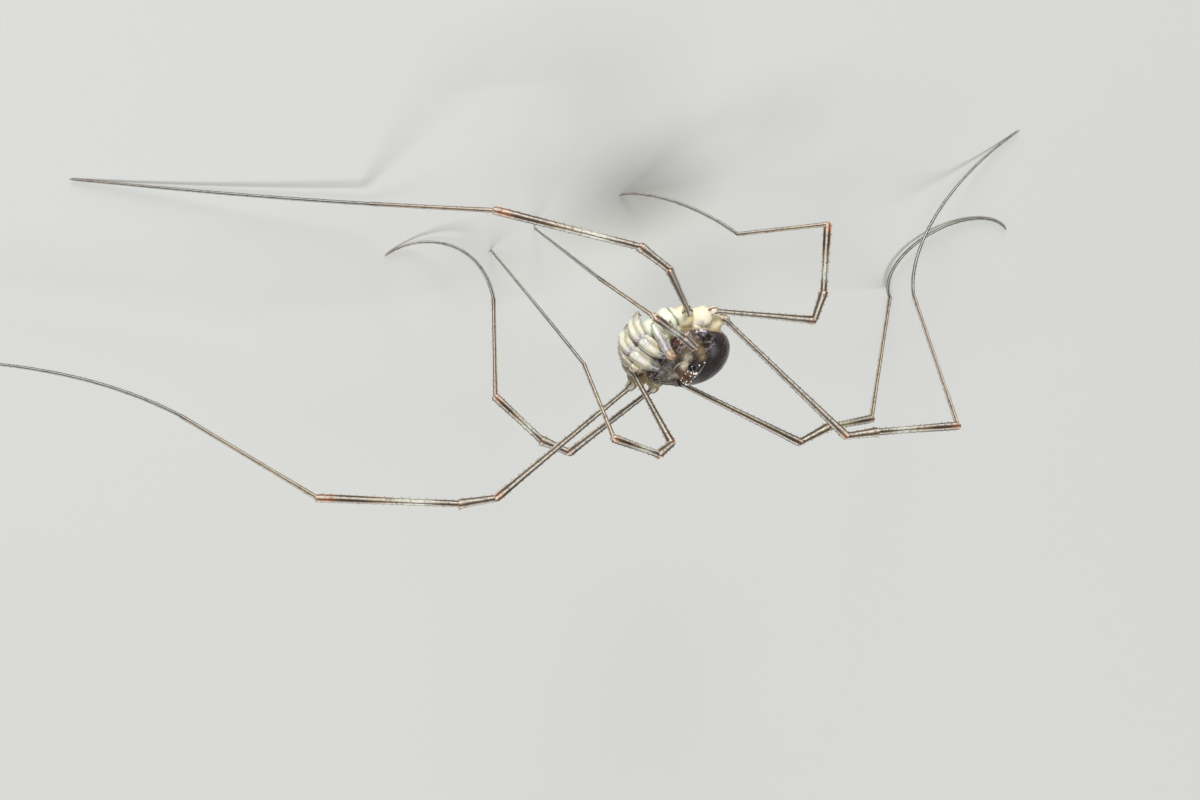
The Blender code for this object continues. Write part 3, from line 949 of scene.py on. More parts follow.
@dataclass(frozen=True)
class MouthFinish(Finish):
    """Mouthpart cuticle: pale and see-through, with long dull streaks along each article."""

    streak: Triple = INK.grey_olive
    streak_share: float = 0.62
    bright_share: float = 0.5
    blush_share: float = 0.45

    def look(self, on: Canvas) -> Look:
        """Lay a blush, dull streaks and bright lines over the tone; the streaks are duller."""
        wave = on.wave("SINE", 1100.0, 7.0)
        streaks = on.times(on.step(wave, 0.0, 0.9), self.streak_share)
        bright = on.times(on.step(wave, -0.7, -0.95), self.bright_share)
        colour = on.mix(on.times(on.blotch(2600.0, 0.52), self.blush_share), on.tone, INK.lavender)
        colour = on.mix(bright, on.mix(streaks, colour, self.streak), INK.white)
        return colour, on.plus(on.times(streaks, 0.2), self.roughness), on.domes(self.grain)


@dataclass(frozen=True)
class HornFinish(Finish):
    """Spines, claws, beads and eyes: glassy, with clouds of another colour."""

    cloud: Triple = INK.rust
    cloud_share: float = 0.3

    def look(self, on: Canvas) -> Look:
        """Lay the cloud over the tone; it is a little duller."""
        blotch = on.blotch(7000.0, 0.5)
        colour = on.mix(on.times(blotch, self.cloud_share), on.tone, self.cloud)
        return colour, on.plus(on.times(blotch, 0.06), self.roughness), on.domes(self.grain)


class Wardrobe:
    """All the animal's materials."""

    def __init__(self) -> None:
        """Build them over one set of shared effects."""
        finishes = {
            "leg": LegFinish("leg_cuticle", roughness=0.34, coat=0.15, relief=0.35),
            "skin": SkinFinish("body_cuticle", 0.34, coat=0.10, depth=0.05, relief=0.45, specular=0.35),
            "mouth": MouthFinish("mouth_cuticle", roughness=0.28, coat=0.3, depth=0.15, relief=0.25),
            "bead": HornFinish("bead_horn", roughness=0.25, coat=0.3, relief=0.1, cloud=INK.cream),
            "spine": HornFinish("spine_horn", roughness=0.35, relief=0.1),
            "claw": HornFinish("claw_horn", roughness=0.22, coat=0.4, relief=0.15),
            "eye": HornFinish(
                "eye_lens", 0.03, coat=0.7, relief=0.0, specular=0.3, cloud=INK.black_brown, cloud_share=0.2
            ),
        }
        effects = Effects()
        self.made = {name: finish.build(effects) for name, finish in finishes.items()}

    def pick(self, *names: str) -> list[bpy.types.Material]:
        """Return the named materials, in the order of Part."""
        return [self.made[name] for name in names]


@dataclass
class Coxa:
    """One coxa: a swollen block from its root under the body to the leg's base.

    Attributes:
        root: its inner end, on the body.
        base: its outer end, on the body.
        radii: its radius at each of the shares.
        shares: where along it the radii stand.
    """

    root: Triple
    base: Triple
    radii: tuple[float, ...]
    shares: tuple[float, ...] = (0.0, 0.4, 0.85, 1.0)

    def surface(self, side: Side) -> Surface:
        """Return the coxa in the model's frame, a round-ended sweep."""
        line = Path.through(BODY.place((self.root, self.base), side))
        knots = tuple(zip(self.shares, self.radii))
        plain = ((0.0, INK.cream), (1.0, INK.cream))
        return limb(line, knots, plain, BODY.axes()[2], 0.08, 0.28, sides=24)


@dataclass
class Trunk:
    """The trunk's form: its widest place, its reach from there, and how blunt its two ends are."""

    centre: Triple = (-0.42, 0.0, 0.02)
    ahead: float = 1.75
    behind: float = 1.74
    width: float = 1.22
    back: float = 0.84
    belly: float = 0.96
    blunt_ahead: float = 3.2
    blunt_behind: float = 2.7
    drop: float = 0.20

    def power(self, ahead: Array) -> Array:
        """Return the bluntness of the end that a place lies towards."""
        return np.where(ahead > 0.0, self.blunt_ahead, self.blunt_behind)

    def sizes(self, ahead: Array, up: Array) -> tuple[Array, Array]:
        """Return the reach and half height; the back sinks by a smooth step towards the front."""
        sunk = self.back * (1.0 - self.drop * ease(ahead, 0.05, 0.70))
        return np.where(ahead > 0.0, self.ahead, self.behind), np.where(up > 0.0, sunk, self.belly)

    def point(self, plain: Array) -> Array:
        """Shape points of a unit ball into the trunk.

        The ball's ring at x has the radius sqrt(1 - x^2). It is widened to (1 - |x|^p)^(1/p), where p is the
        bluntness of that end, and then every coordinate is stretched by its half size.

        Args:
            plain: points of the unit ball, as (ahead, right, up).

        Returns:
            Places on the body.
        """
        ahead = plain[:, 0]
        power = self.power(ahead)
        full = np.maximum(1.0 - np.abs(ahead) ** power, 0.0) ** (1.0 / power)
        widen = full / np.sqrt(np.maximum(1.0 - ahead**2, 1e-9))
        reach, height = self.sizes(ahead, plain[:, 2])
        return plain * np.stack((reach, self.width * widen, height * widen), axis=-1) + np.array(self.centre)

    def depth(self, place: Array) -> Array:
        """Return 1 on the surface, less inside and more outside: (|x|^p + ring^p)^(1/p).

        Args:
            place: places on the body.

        Returns:
            One value for each place.
        """
        local = place - np.array(self.centre)
        ahead = local[:, 0] / np.where(local[:, 0] > 0.0, self.ahead, self.behind)
        height = self.sizes(ahead, local[:, 2])[1]
        ring = np.hypot(local[:, 1] / self.width, local[:, 2] / height)
        power = self.power(ahead)
        return (np.abs(ahead) ** power + ring**power) ** (1.0 / power)


COXAE = (
    Coxa((0.66, 0.62, -0.74), (1.33, 1.08, -0.26), (0.42, 0.44, 0.33, 0.27), (0.0, 0.35, 0.8, 1.0)),
    Coxa((0.35, 0.70, -0.70), (0.84, 1.76, -0.25), (0.42, 0.42, 0.34, 0.28)),
    Coxa((0.02, 0.68, -0.70), (-0.45, 1.80, -0.25), (0.42, 0.41, 0.35, 0.28)),
    Coxa((-0.30, 0.60, -0.68), (-1.38, 1.46, -0.25), (0.42, 0.42, 0.35, 0.28)),
)


@dataclass
class Skin:
    """The body's one skin: trunk, coxae and eye mound, fused and then shaped.

    Attributes:
        trunk: the trunk's form.
        coxae: the coxae of one side, from the front.
        middle_eggs: centre and half sizes of the mound and the breast plate.
        side_eggs: centre and half sizes of each side's lobe, lip and cheek.
        voxel: cell of the fused mesh.
        waist: how far ahead the furrow between front and rear lies.
        grooves: how far ahead the rear's own furrows lie.
        patch_spots: the strokes of each side's tan patch.
        waist_cut: depth and width of the waist's furrow.
        groove_cut: the same of the rear's furrows.
        crease_cut: the same of the creases between the coxae.
        cleft_cut: the same of the cleft between the mound's lobes.
        fold_heights: heights of the flank's coarse and fine folds, and how far they are sunk.
        furrow_bend: how far the furrows bend forward, by the square of the way out.
        rear_height: height of the rear's roughness.
        bump_height: height of the margin's bumps.
        coxal_height: height of the coxae's low waves.
        swell_height: height of the whole skin's low waves.
        bump_spots: where the margin's bumps stand.
        sheen_spots: the pale gleams on the back.
        face_spots: the rust-coloured front of the mound.
        brown_patches: brown spots between the coxae.
        pale_spots: cream spots at the mound's foot.
        beads: ahead, out, up and radius of each white bead over the eyes.
        margin: the same of the blunt tubercles along the margin.
    """

    trunk: Trunk = field(default_factory=Trunk)
    coxae: tuple[Coxa, ...] = COXAE
    middle_eggs: tuple = (((0.47, 0.0, 0.80), (0.34, 0.31, 0.44)), ((0.45, 0.0, -0.86), (0.62, 0.42, 0.22)))
    side_eggs: tuple = (
        ((0.44, 0.16, 1.03), (0.25, 0.18, 0.24)), ((1.12, 0.40, -0.78), (0.38, 0.30, 0.42)),
        ((1.02, 0.98, -0.60), (0.46, 0.52, 0.44)),
    )
    voxel: float = 0.026
    waist: float = -0.38
    grooves: tuple[float, ...] = (-0.72, -1.04, -1.34, -1.62, -1.86)
    patch_spots: Spots = (
        ((0.40, 0.97, 0.42), 0.17), ((0.22, 0.88, 0.54), 0.17), ((0.05, 0.75, 0.64), 0.17),
        ((-0.14, 0.58, 0.74), 0.14),
    )
    waist_cut: tuple[float, float] = (0.035, 0.05)
    groove_cut: tuple[float, float] = (0.004, 0.035)
    crease_cut: tuple[float, float] = (0.055, 0.06)
    cleft_cut: tuple[float, float] = (0.10, 0.05)
    fold_heights: Triple = (0.055, 0.025, 0.03)
    furrow_bend: float = 0.10
    rear_height: float = 0.014
    bump_height: float = 0.05
    coxal_height: float = 0.07
    swell_height: float = 0.012
    bump_spots: Spots = (((-0.14, 1.24, -0.02), 0.24), ((0.62, 1.08, 0.22), 0.26))
    sheen_spots: Spots = (((-0.66, 0.80, 0.64), 0.20), ((-0.50, 0.92, 0.54), 0.12))
    face_spots: Spots = (((0.64, 0.18, 0.96), 0.11), ((0.52, 0.05, 1.10), 0.12))
    # Brown spots where the coxae meet the margin.
    brown_patches: Spots = (((-1.28, 1.30, 0.04), 0.13), ((-0.06, 1.42, -0.06), 0.10), ((0.28, 1.22, -0.10), 0.12))
    pale_spots: Spots = (
        ((0.50, 0.46, 0.72), 0.15), ((0.62, 0.42, 0.80), 0.13), ((0.76, 0.27, 0.84), 0.11),
        ((0.56, 0.40, 0.90), 0.09),
    )
    beads: Spots = (
        ((0.66, 0.20, 1.10), 0.028), ((0.58, 0.24, 1.19), 0.032), ((0.49, 0.25, 1.24), 0.037),
        ((0.39, 0.25, 1.245), 0.036), ((0.29, 0.24, 1.20), 0.033), ((0.22, 0.20, 1.12), 0.028),
        ((0.56, 0.12, 1.24), 0.026), ((0.33, 0.12, 1.25), 0.026), ((0.68, 0.10, 1.09), 0.028),
        ((-0.10, 0.30, 0.86), 0.030), ((-0.30, 0.42, 0.84), 0.026),
    )
    margin: Spots = (
        ((-0.10, 1.17, 0.05), 0.09), ((-0.26, 1.20, 0.10), 0.06), ((0.16, 1.17, 0.12), 0.06),
        ((0.62, 1.08, 0.14), 0.07), ((0.84, 0.99, 0.17), 0.06), ((1.02, 0.87, 0.20), 0.05),
    )

    def blank(self) -> Surface:
        """Return the closed forms that make the skin, overlapping each other."""
        trunk = ball(np.zeros(3), np.ones(3), np.eye(3), INK.cream, rows=80, sides=96)
        trunk.points = BODY.place(self.trunk.point(trunk.points))
        eggs = [(egg, Side.RIGHT) for egg in self.middle_eggs]
        eggs += [(egg, side) for side in Side for egg in self.side_eggs]
        forms = [trunk.flipped(), *(coxa.surface(side) for coxa in self.coxae for side in Side)]
        for (place, half), side in eggs:
            forms.append(ball(BODY.place(place, side), np.array(half), BODY.axes(), INK.cream))
        return Surface.join(forms)

    def fused(self) -> bpy.types.Mesh:
        """Fuse the blank into one closed mesh of small even quads, in millimetres."""
        holder = bpy.data.objects.new("blank", self.blank().mesh("blank", 1.0))
        bpy.context.scene.collection.objects.link(holder)
        remesh = holder.modifiers.new("fuse", "REMESH")
        remesh.mode = "VOXEL"
        remesh.voxel_size = self.voxel
        smooth = holder.modifiers.new("relax", "SMOOTH")
        smooth.factor = 0.5
        smooth.iterations = 4
        bpy.context.view_layer.update()
        graph = bpy.context.evaluated_depsgraph_get()
        mesh = bpy.data.meshes.new_from_object(holder.evaluated_get(graph))
        bpy.data.objects.remove(holder, do_unlink=True)
        return mesh

    def nearest_coxa(self, place: Array) -> tuple[Array, Array]:
        """Find the coxa that each place belongs to.

        Args:
            place: places on the body, as (ahead, out, up).

        Returns:
            The nearest coxa's number, and how much farther away the second nearest coxa's axis is.
        """
        reaches = []
        for coxa in self.coxae:
            root = np.array(coxa.root)
            line = np.array(coxa.base) - root
            share = np.clip((place - root) @ line / (line @ line), 0.0, 1.0)
            reaches.append(np.linalg.norm(place - root - share[:, None] * line, axis=1))
        order = np.sort(reaches, axis=0)
        return np.argmin(reaches, axis=0) + 1, order[1] - order[0]

    def wrinkled(self, place: Array, trunk: Array) -> Array:
        """Return where the wet wrinkled flank lies: a band along each side, left out in its tan patch."""
        ahead, out, up = place.T
        band = ease(out, 0.42, 0.70) * ease(up, -0.04, 0.06) * ease(up, 0.80, 0.58)
        band = band * ease(ahead, -0.80, -0.45) * ease(ahead, 1.28, 1.08) * trunk
        return band * (1.0 - self.patch(place))

    def patch(self, place: Array) -> Array:
        """Return where the smooth tan patch of each side lies: a soft stroke from the flank to the back."""
        return strongest(place, self.patch_spots)

    def relief(self, place: Array, trunk: Array) -> Array:
        """Return how far the skin stands out from the blank, as the sum of grooves, folds and bumps.

        Args:
            place: places on the body, as (ahead, out, up).
            trunk: 1 on the trunk, 0 on the coxae and the mound.

        Returns:
            The height for each place, in millimetres.
        """
        ahead, out, up = place.T
        bent = ahead - self.furrow_bend * out**2
        height = -cut(bent - self.waist, self.waist_cut) * trunk
        for groove in self.grooves:
            height -= cut(bent - groove, self.groove_cut) * trunk
        coarse, fine, sunk = self.fold_heights
        folds = coarse * crests(place, Field.FOLDS) + fine * crests(place, Field.FINE_FOLDS) - sunk
        height += self.wrinkled(place, trunk) * folds
        rough = ease(ahead, -0.9, -1.2) * ease(up, 0.55, 0.35)
        rough += 1.6 * ease(ahead, 0.1, 0.4) * ease(up, 0.1, 0.3)
        height += rough * trunk * self.rear_height * crests(place, Field.REAR)
        bumps = sum(spot(place, *bump) for bump in self.bump_spots)
        height += self.bump_height * bumps * ease(cloud(place, Field.KNOBS), 0.50, 0.72)
        coxal = (1.0 - trunk) * ease(up, 0.3, 0.0)
        height -= cut(self.nearest_coxa(place)[1], self.crease_cut) * coxal
        height += self.coxal_height * (cloud(place, Field.COXAL) - 0.5) * coxal
        height -= cut(out, self.cleft_cut) * ease(up, 0.95, 1.10) * ease(np.abs(ahead - 0.47), 0.5, 0.3)
        return height + self.swell_height * (cloud(place, Field.SWELL) - 0.5)

    def paints(self, place: Array, right: Array, trunk: Array) -> tuple[Array, Array]:
        """Colour the skin and say where it is mottled and wet.

        Args:
            place: places on the body, as (ahead, out, up).
            right: how far each place is to the right.
            trunk: 1 on the trunk, 0 on the coxae and the mound.

        Returns:
            The colour of each place, and three masks: pale spots, brown dots and wet gloss.
        """
        ahead, out, up = place.T
        # Painted shade: the left side lies away from the light, so its underside is painted olive, its back
        # near black, and it gets fewer brown blotches.
        left = ease(right, 0.0, -0.5)
        coxa, gap = self.nearest_coxa(place)
        # Painted shade in the creases between neighbouring coxae: dark olive where two coxae meet.
        crease = bell(gap, 0.05) * ease(up, 0.15, -0.05) * (1.0 - trunk)
        back, flank = ease(up, 0.04, 0.14) * trunk, ease(up, -0.16, 0.06) * trunk
        rear = ease(ahead, -0.30, -0.50)
        folds = self.wrinkled(place, trunk)
        # Painted highlight on the crests of the wet folds; the hollows between them get painted shade.
        fold_tops = ease(crests(place, Field.FOLDS), 0.60, 0.95)
        ashen = 0.75 * spot(place, (0.76, 0.72, 0.46), 0.26) + 0.8 * spot(place, (0.56, 1.12, 0.16), 0.22)
        knobbed = ease(cloud(place, Field.KNOBS), 0.50, 0.66)
        sheen = sum(spot(place, *gleam) for gleam in self.sheen_spots)
        front = ease(ahead, 0.2, 0.7) * ease(out, 0.75, 0.45) * back
        blotch = ease(cloud(place, Field.BLOTCHES), 0.38, 0.62)
        mound = ease(up, 0.66, 0.74) * (1.0 - trunk)
        paleness = 0.7 + 0.9 * cloud(place, Field.PALE)
        layers = (
            (INK.yellow, 0.75 * (coxa == 2) + 0.35 * (coxa == 4)),
            # the olive in the creases between coxae is painted shade
            (INK.green_white, 0.9 * ease(ahead - 0.25 * out, 0.36, 0.72)), (INK.olive, 0.85 * crease),
            *((INK.brown, 0.7 * spot(place, middle, size)) for middle, size in self.brown_patches),
            # painted shade: olive over the left underside
            (INK.olive, 0.85 * left * ease(up, -1.1, -0.6)), (INK.tan, 0.8 * flank),
            (INK.black_brown, back), (INK.purple, back * rear),
            # the lavender on the fold crests is a painted highlight
            (INK.grey_tan, np.clip(ashen, 0.0, 1.0) * flank), (INK.lavender, 0.42 * folds * fold_tops),
            # painted shade in the hollows between the folds
            (INK.black_brown, 0.7 * folds * (1.0 - fold_tops) * ease(ahead, 0.7, 0.3)),
            (INK.black_brown, 0.9 * spot(place, (0.88, 0.84, 0.36), 0.10)),
            (INK.rust, 0.9 * spot(place, (1.09, 0.82, 0.26), 0.12)),
            (INK.tan, 0.75 * self.patch(place) * trunk),
            (INK.lavender, 0.9 * knobbed * spot(place, (-0.14, 1.26, -0.02), 0.22)),
            (INK.lavender, 0.22 * np.clip(sheen, 0.0, 1.0) * (0.5 + 0.5 * cloud(place, Field.SHEEN))),
            # fewer brown blotches on the left, where the back is painted in shade
            (INK.brown, 0.8 * front * blotch * (1.0 - 0.6 * left)), (INK.brown, mound),
            (INK.rust, 0.7 * strongest(place, self.face_spots)),
            *((INK.cream, np.clip(spot(place, *pale) * paleness, 0.0, 1.0)) for pale in self.pale_spots),
            # painted shade: the left back darkened to near black
            (INK.black_brown, 0.6 * left * back * (1.0 - mound)),
        )
        tone = np.tile(np.array(INK.cream), (len(place), 1))
        for colour, share in layers:
            tone = blend(tone, np.array(colour), share)
        spots = 0.30 * back * (1.0 - rear) * (1.0 - mound) + 0.05 * back * rear
        dots = (1.0 - back) * (0.6 + 0.4 * flank) * ease(ahead, 0.9, 0.5)
        wet = np.clip(folds + 0.6 * back * rear, 0.0, 1.0)
        return tone, np.stack((spots, dots, wet), axis=-1)

    def knobs(self) -> Surface:
        """Return the white beads and the margin's tubercles, each a little ball set in the skin."""
        kinds = ((self.beads, INK.white), (self.margin, INK.lavender))
        rows = [(*knob, side, tone) for knobs, tone in kinds for side in Side for knob in knobs]
        return Surface.join(
            [
                ball(BODY.place(place, side), np.full(3, radius), BODY.axes(), tone, rows=8, sides=12)
                for place, radius, side, tone in rows
            ]
        )

    def build(self, wardrobe: Wardrobe) -> list[bpy.types.Object]:
        """Build the skin and its tubercles.

        Args:
            wardrobe: the materials.

        Returns:
            The two pieces.
        """
        mesh = self.fused()
        points, normals = np.empty(len(mesh.vertices) * 3), np.empty(len(mesh.vertices) * 3)
        mesh.vertices.foreach_get("co", points)
        mesh.vertices.foreach_get("normal", normals)
        points, normals = points.reshape(-1, 3), normals.reshape(-1, 3)
        place = BODY.local(points)
        trunk = ease(self.trunk.depth(place), 1.07, 1.02)
        mirrored = np.stack((place[:, 0], np.abs(place[:, 1]), place[:, 2]), axis=-1)
        shaped = points + normals * self.relief(mirrored, trunk)[:, None]
        mesh.vertices.foreach_set("co", (shaped * MM).ravel())
        mesh.shade_smooth()
        mesh.update()
        tone, masks = self.paints(mirrored, place[:, 1], trunk)
        paint(mesh, masks, tone)
        mesh.name = "body_skin"
        skin = dressed(mesh, "body_skin", wardrobe.pick("skin"))
        knobs = self.knobs().piece("body_tubercles", wardrobe.pick("bead"))
        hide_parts("prosoma", "opisthosoma", "ocularium")
        return [skin, knobs]


@dataclass
class Eye:
    """One eye: a glassy ball set in the side of the mound, its pole looking outwards."""

    side: Side
    place: Triple = (0.49, 0.345, 1.05)
    radius: float = 0.166
    tone: Triple = (0.004, 0.003, 0.003)

    def build(self, wardrobe: Wardrobe) -> bpy.types.Object:
        """Build the eye.

        Args:
            wardrobe: the materials.

        Returns:
            The piece.
        """
        name = f"eye_{self.side.word}"
        axes = BODY.axes()[[1, 0, 2]]
        place = BODY.place(self.place, self.side)
        form = ball(place, np.full(3, self.radius), axes, self.tone, rows=24, sides=32)
        piece = form.piece(name + "_lens", wardrobe.pick("eye"))
        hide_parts(name)
        return piece


@dataclass(frozen=True)
class Article:
    """One article of a mouthpart: its line on the body, its thickness and its colours.

    Attributes:
        line: stations of its middle line.
        radii: pairs of share and radius.
        tones: pairs of share and colour.
        cap: reach of its rounded ends.
    """

    line: tuple[Triple, ...]
    radii: Knots
    tones: Tones
    cap: float

    def form(self, side: Side, back: Array, spacing: float, sides: int, part: Part = Part.SHELL) -> Surface:
        """Make the article on one side of the body.

        Args:
            side: the side it is on.
            back: the direction of its back.
            spacing: distance between rings.
            sides: how many points a ring has.
            part: what it is made of.

        Returns:
            A round-ended sweep.
        """
        path = Path.through(BODY.place(self.line, side))
        return limb(path, self.radii, self.tones, back, spacing, self.cap, sides=sides, part=part)


@dataclass
class Chelicera:
    """One chelicera: its basal article, its hand with the fixed finger, and the movable finger."""

    side: Side
    base: Article = Article(
        ((1.10, 0.29, 0.32), (1.66, 0.29, 0.10), (1.98, 0.285, -0.42)),
        ((0.0, 0.20), (0.3, 0.26), (0.75, 0.275), (1.0, 0.25)),
        (
            # The steel band near the root is a painted reflection, and the lavender at the knee end a painted
            # highlight.
            (0.0, INK.dark), (0.28, INK.dark), (0.36, INK.steel), (0.42, INK.grey_olive), (0.52, INK.cream),
            (0.6, INK.cream), (0.9, INK.green_white), (1.0, INK.lavender),
        ),
        0.14,
    )
    hand: Article = Article(
        (
            (2.00, 0.29, -0.34), (1.90, 0.29, -0.85), (1.52, 0.30, -1.28), (1.23, 0.30, -1.57),
            (1.06, 0.29, -1.70), (0.91, 0.28, -1.58),
        ),
        ((0.0, 0.21), (0.2, 0.26), (0.42, 0.25), (0.62, 0.165), (0.8, 0.08), (1.0, 0.025)),
        (
            # The lavender at the knee end is a painted highlight.
            (0.0, INK.lavender), (0.15, INK.cream), (0.5, INK.green_white), (0.60, INK.grey_olive),
            (0.68, INK.olive), (0.77, INK.black_brown),
        ),
        0.12,
    )
    finger: Article = Article(
        ((1.76, 0.42, -1.12), (1.44, 0.45, -1.44), (1.18, 0.40, -1.62), (0.98, 0.31, -1.66)),
        ((0.0, 0.11), (0.4, 0.085), (0.8, 0.05), (1.0, 0.02)),
        ((0.0, INK.cream), (0.4, INK.grey_olive), (0.6, INK.olive), (0.8, INK.black_brown)),
        0.05,
    )
    base_hair: Hair = Hair(0.09, 0.006, 0.8, INK.brown)
    hand_hair: Hair = Hair(0.08, 0.005, 0.9, INK.brown, span=(0.05, 0.6))
    hairs: tuple[int, int] = (70, 60)
    spacing: float = 0.03

    def build(self, wardrobe: Wardrobe, rng: np.random.Generator) -> bpy.types.Object:
        """Build the chelicera.

        Args:
            wardrobe: the materials.
            rng: the source of chance for its bristles.

        Returns:
            The piece.
        """
        word = self.side.word
        back = BODY.axes()[0]
        articles = ((self.base, 28), (self.hand, 28), (self.finger, 18))
        forms = [article.form(self.side, back, self.spacing, sides) for article, sides in articles]
        kinds = (self.base_hair, self.hand_hair)
        forms += [bristles(form, rng, count, hair) for form, count, hair in zip(forms, self.hairs, kinds)]
        piece = Surface.join(forms).piece(f"chelicera_{word}", wardrobe.pick("mouth", "spine"))
        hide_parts(f"chelicera_{word}_base", f"chelicera_{word}_hand")
        return piece


@dataclass
class Pedipalp:
    """One pedipalp: femur, patella, tibia, tarsus and its small claw."""

    side: Side
    femur: tuple[Triple, ...] = ((1.10, 0.60, -0.05), (1.50, 0.64, 0.34), (1.78, 0.72, 0.80))
    patella: tuple[Triple, ...] = ((1.74, 0.71, 0.78), (1.87, 0.74, 0.93), (1.90, 0.76, 0.74))
    tibia: tuple[Triple, ...] = ((1.90, 0.75, 0.82), (1.84, 0.77, 0.52), (1.76, 0.77, 0.22))
    tarsus: tuple[Triple, ...] = ((1.78, 0.77, 0.28), (1.66, 0.76, -0.20), (1.48, 0.72, -0.66))
    claw: tuple[Triple, ...] = ((1.50, 0.72, -0.64), (1.44, 0.71, -0.74), (1.38, 0.70, -0.74))
    # painted shade: what the palp's colours are multiplied by
    shade: Triple = (1.0, 1.0, 1.0)
    knee: Triple = INK.orange
    hair: Hair = Hair(0.11, 0.006, 0.8, INK.brown)
    hairs: int = 45
    spacing: float = 0.04
    cap: float = 0.08

    def articles(self) -> list[Article]:
        """Return femur, patella, tibia and tarsus with their colours multiplied by the palp's painted shade.
        """
        rows = (
            (
                self.femur,
                ((0.0, 0.12), (0.5, 0.13), (0.9, 0.15), (1.0, 0.14)),
                ((0.0, INK.tan), (0.2, INK.cream), (0.8, INK.cream), (1.0, self.knee)),
            ),
            (
                self.patella,
                ((0.0, 0.13), (0.5, 0.155), (1.0, 0.15)),
                ((0.0, self.knee), (0.5, self.knee), (1.0, INK.cream)),
            ),
            (
                self.tibia,
                ((0.0, 0.15), (0.6, 0.175), (1.0, 0.16)),
                ((0.0, self.knee), (0.15, INK.lavender), (0.8, INK.lavender), (1.0, INK.cream)),
            ),
            (
                self.tarsus,
                ((0.0, 0.14), (0.3, 0.155), (0.7, 0.13), (1.0, 0.08)),
                ((0.0, INK.lavender), (0.6, INK.white), (1.0, INK.green_white)),
            ),
        )
        return [Article(line, radii, tinted(tones, self.shade), self.cap) for line, radii, tones in rows]

    def build(self, wardrobe: Wardrobe, rng: np.random.Generator) -> bpy.types.Object:
        """Build the pedipalp.

        Args:
            wardrobe: the materials.
            rng: the source of chance for its bristles.

        Returns:
            The piece.
        """
        word = self.side.word
        back = BODY.axes()[1]
        forms = []
        for article in self.articles():
            form = article.form(self.side, back, self.spacing, 20)
            forms += [form, bristles(form, rng, self.hairs, self.hair)]
        hook = Article(self.claw, ((0.0, 0.03), (1.0, 0.008)), HOOK_TONES, 0.02)
        forms.append(hook.form(self.side, back, 0.015, 8, Part.CLAW))
        piece = Surface.join(forms).piece(f"pedipalp_{word}", wardrobe.pick("mouth", "spine", "claw"))
        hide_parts(*(f"pedipalp_{word}_{part}" for part in ("femur", "tibia", "tarsus")))
        return piece


def make_pedipalps() -> list[Pedipalp]:
    """Return the two pedipalps; the left one is held lower, along the chelicera."""
    left = Pedipalp(
        Side.LEFT,
        femur=((1.10, 0.58, -0.06), (1.45, 0.64, -0.02), (1.74, 0.67, 0.04)),
        patella=((1.70, 0.67, 0.03), (1.86, 0.68, 0.02), (1.94, 0.69, -0.14)),
        tibia=((1.94, 0.69, -0.08), (1.97, 0.69, -0.34), (1.90, 0.69, -0.60)),
        tarsus=((1.91, 0.69, -0.52), (1.76, 0.67, -0.88), (1.50, 0.62, -1.22)),
        claw=((1.52, 0.62, -1.20), (1.46, 0.62, -1.28), (1.40, 0.61, -1.28)),
        # Painted shade: the left palp lies away from the light, so its colours are darkened and turned olive.
        shade=(0.62, 0.58, 0.44),
        knee=INK.cream,
    )
    return [Pedipalp(Side.RIGHT), left]


LEG_ARTICLES = ("femur", "patella", "tibia", "metatarsus", "tarsus")
SPINE_ROWS = (0.0, 72.0, 144.0, 216.0, 288.0)
LONG_ARTICLE_HAIRS = (
    (Hair(0.055, 0.016, 0.7, INK.dark, 5, SPINE_ROWS), 16.0, 0),
    (Hair(0.07, 0.005, 1.2, INK.brown), 10.0, 0),
)


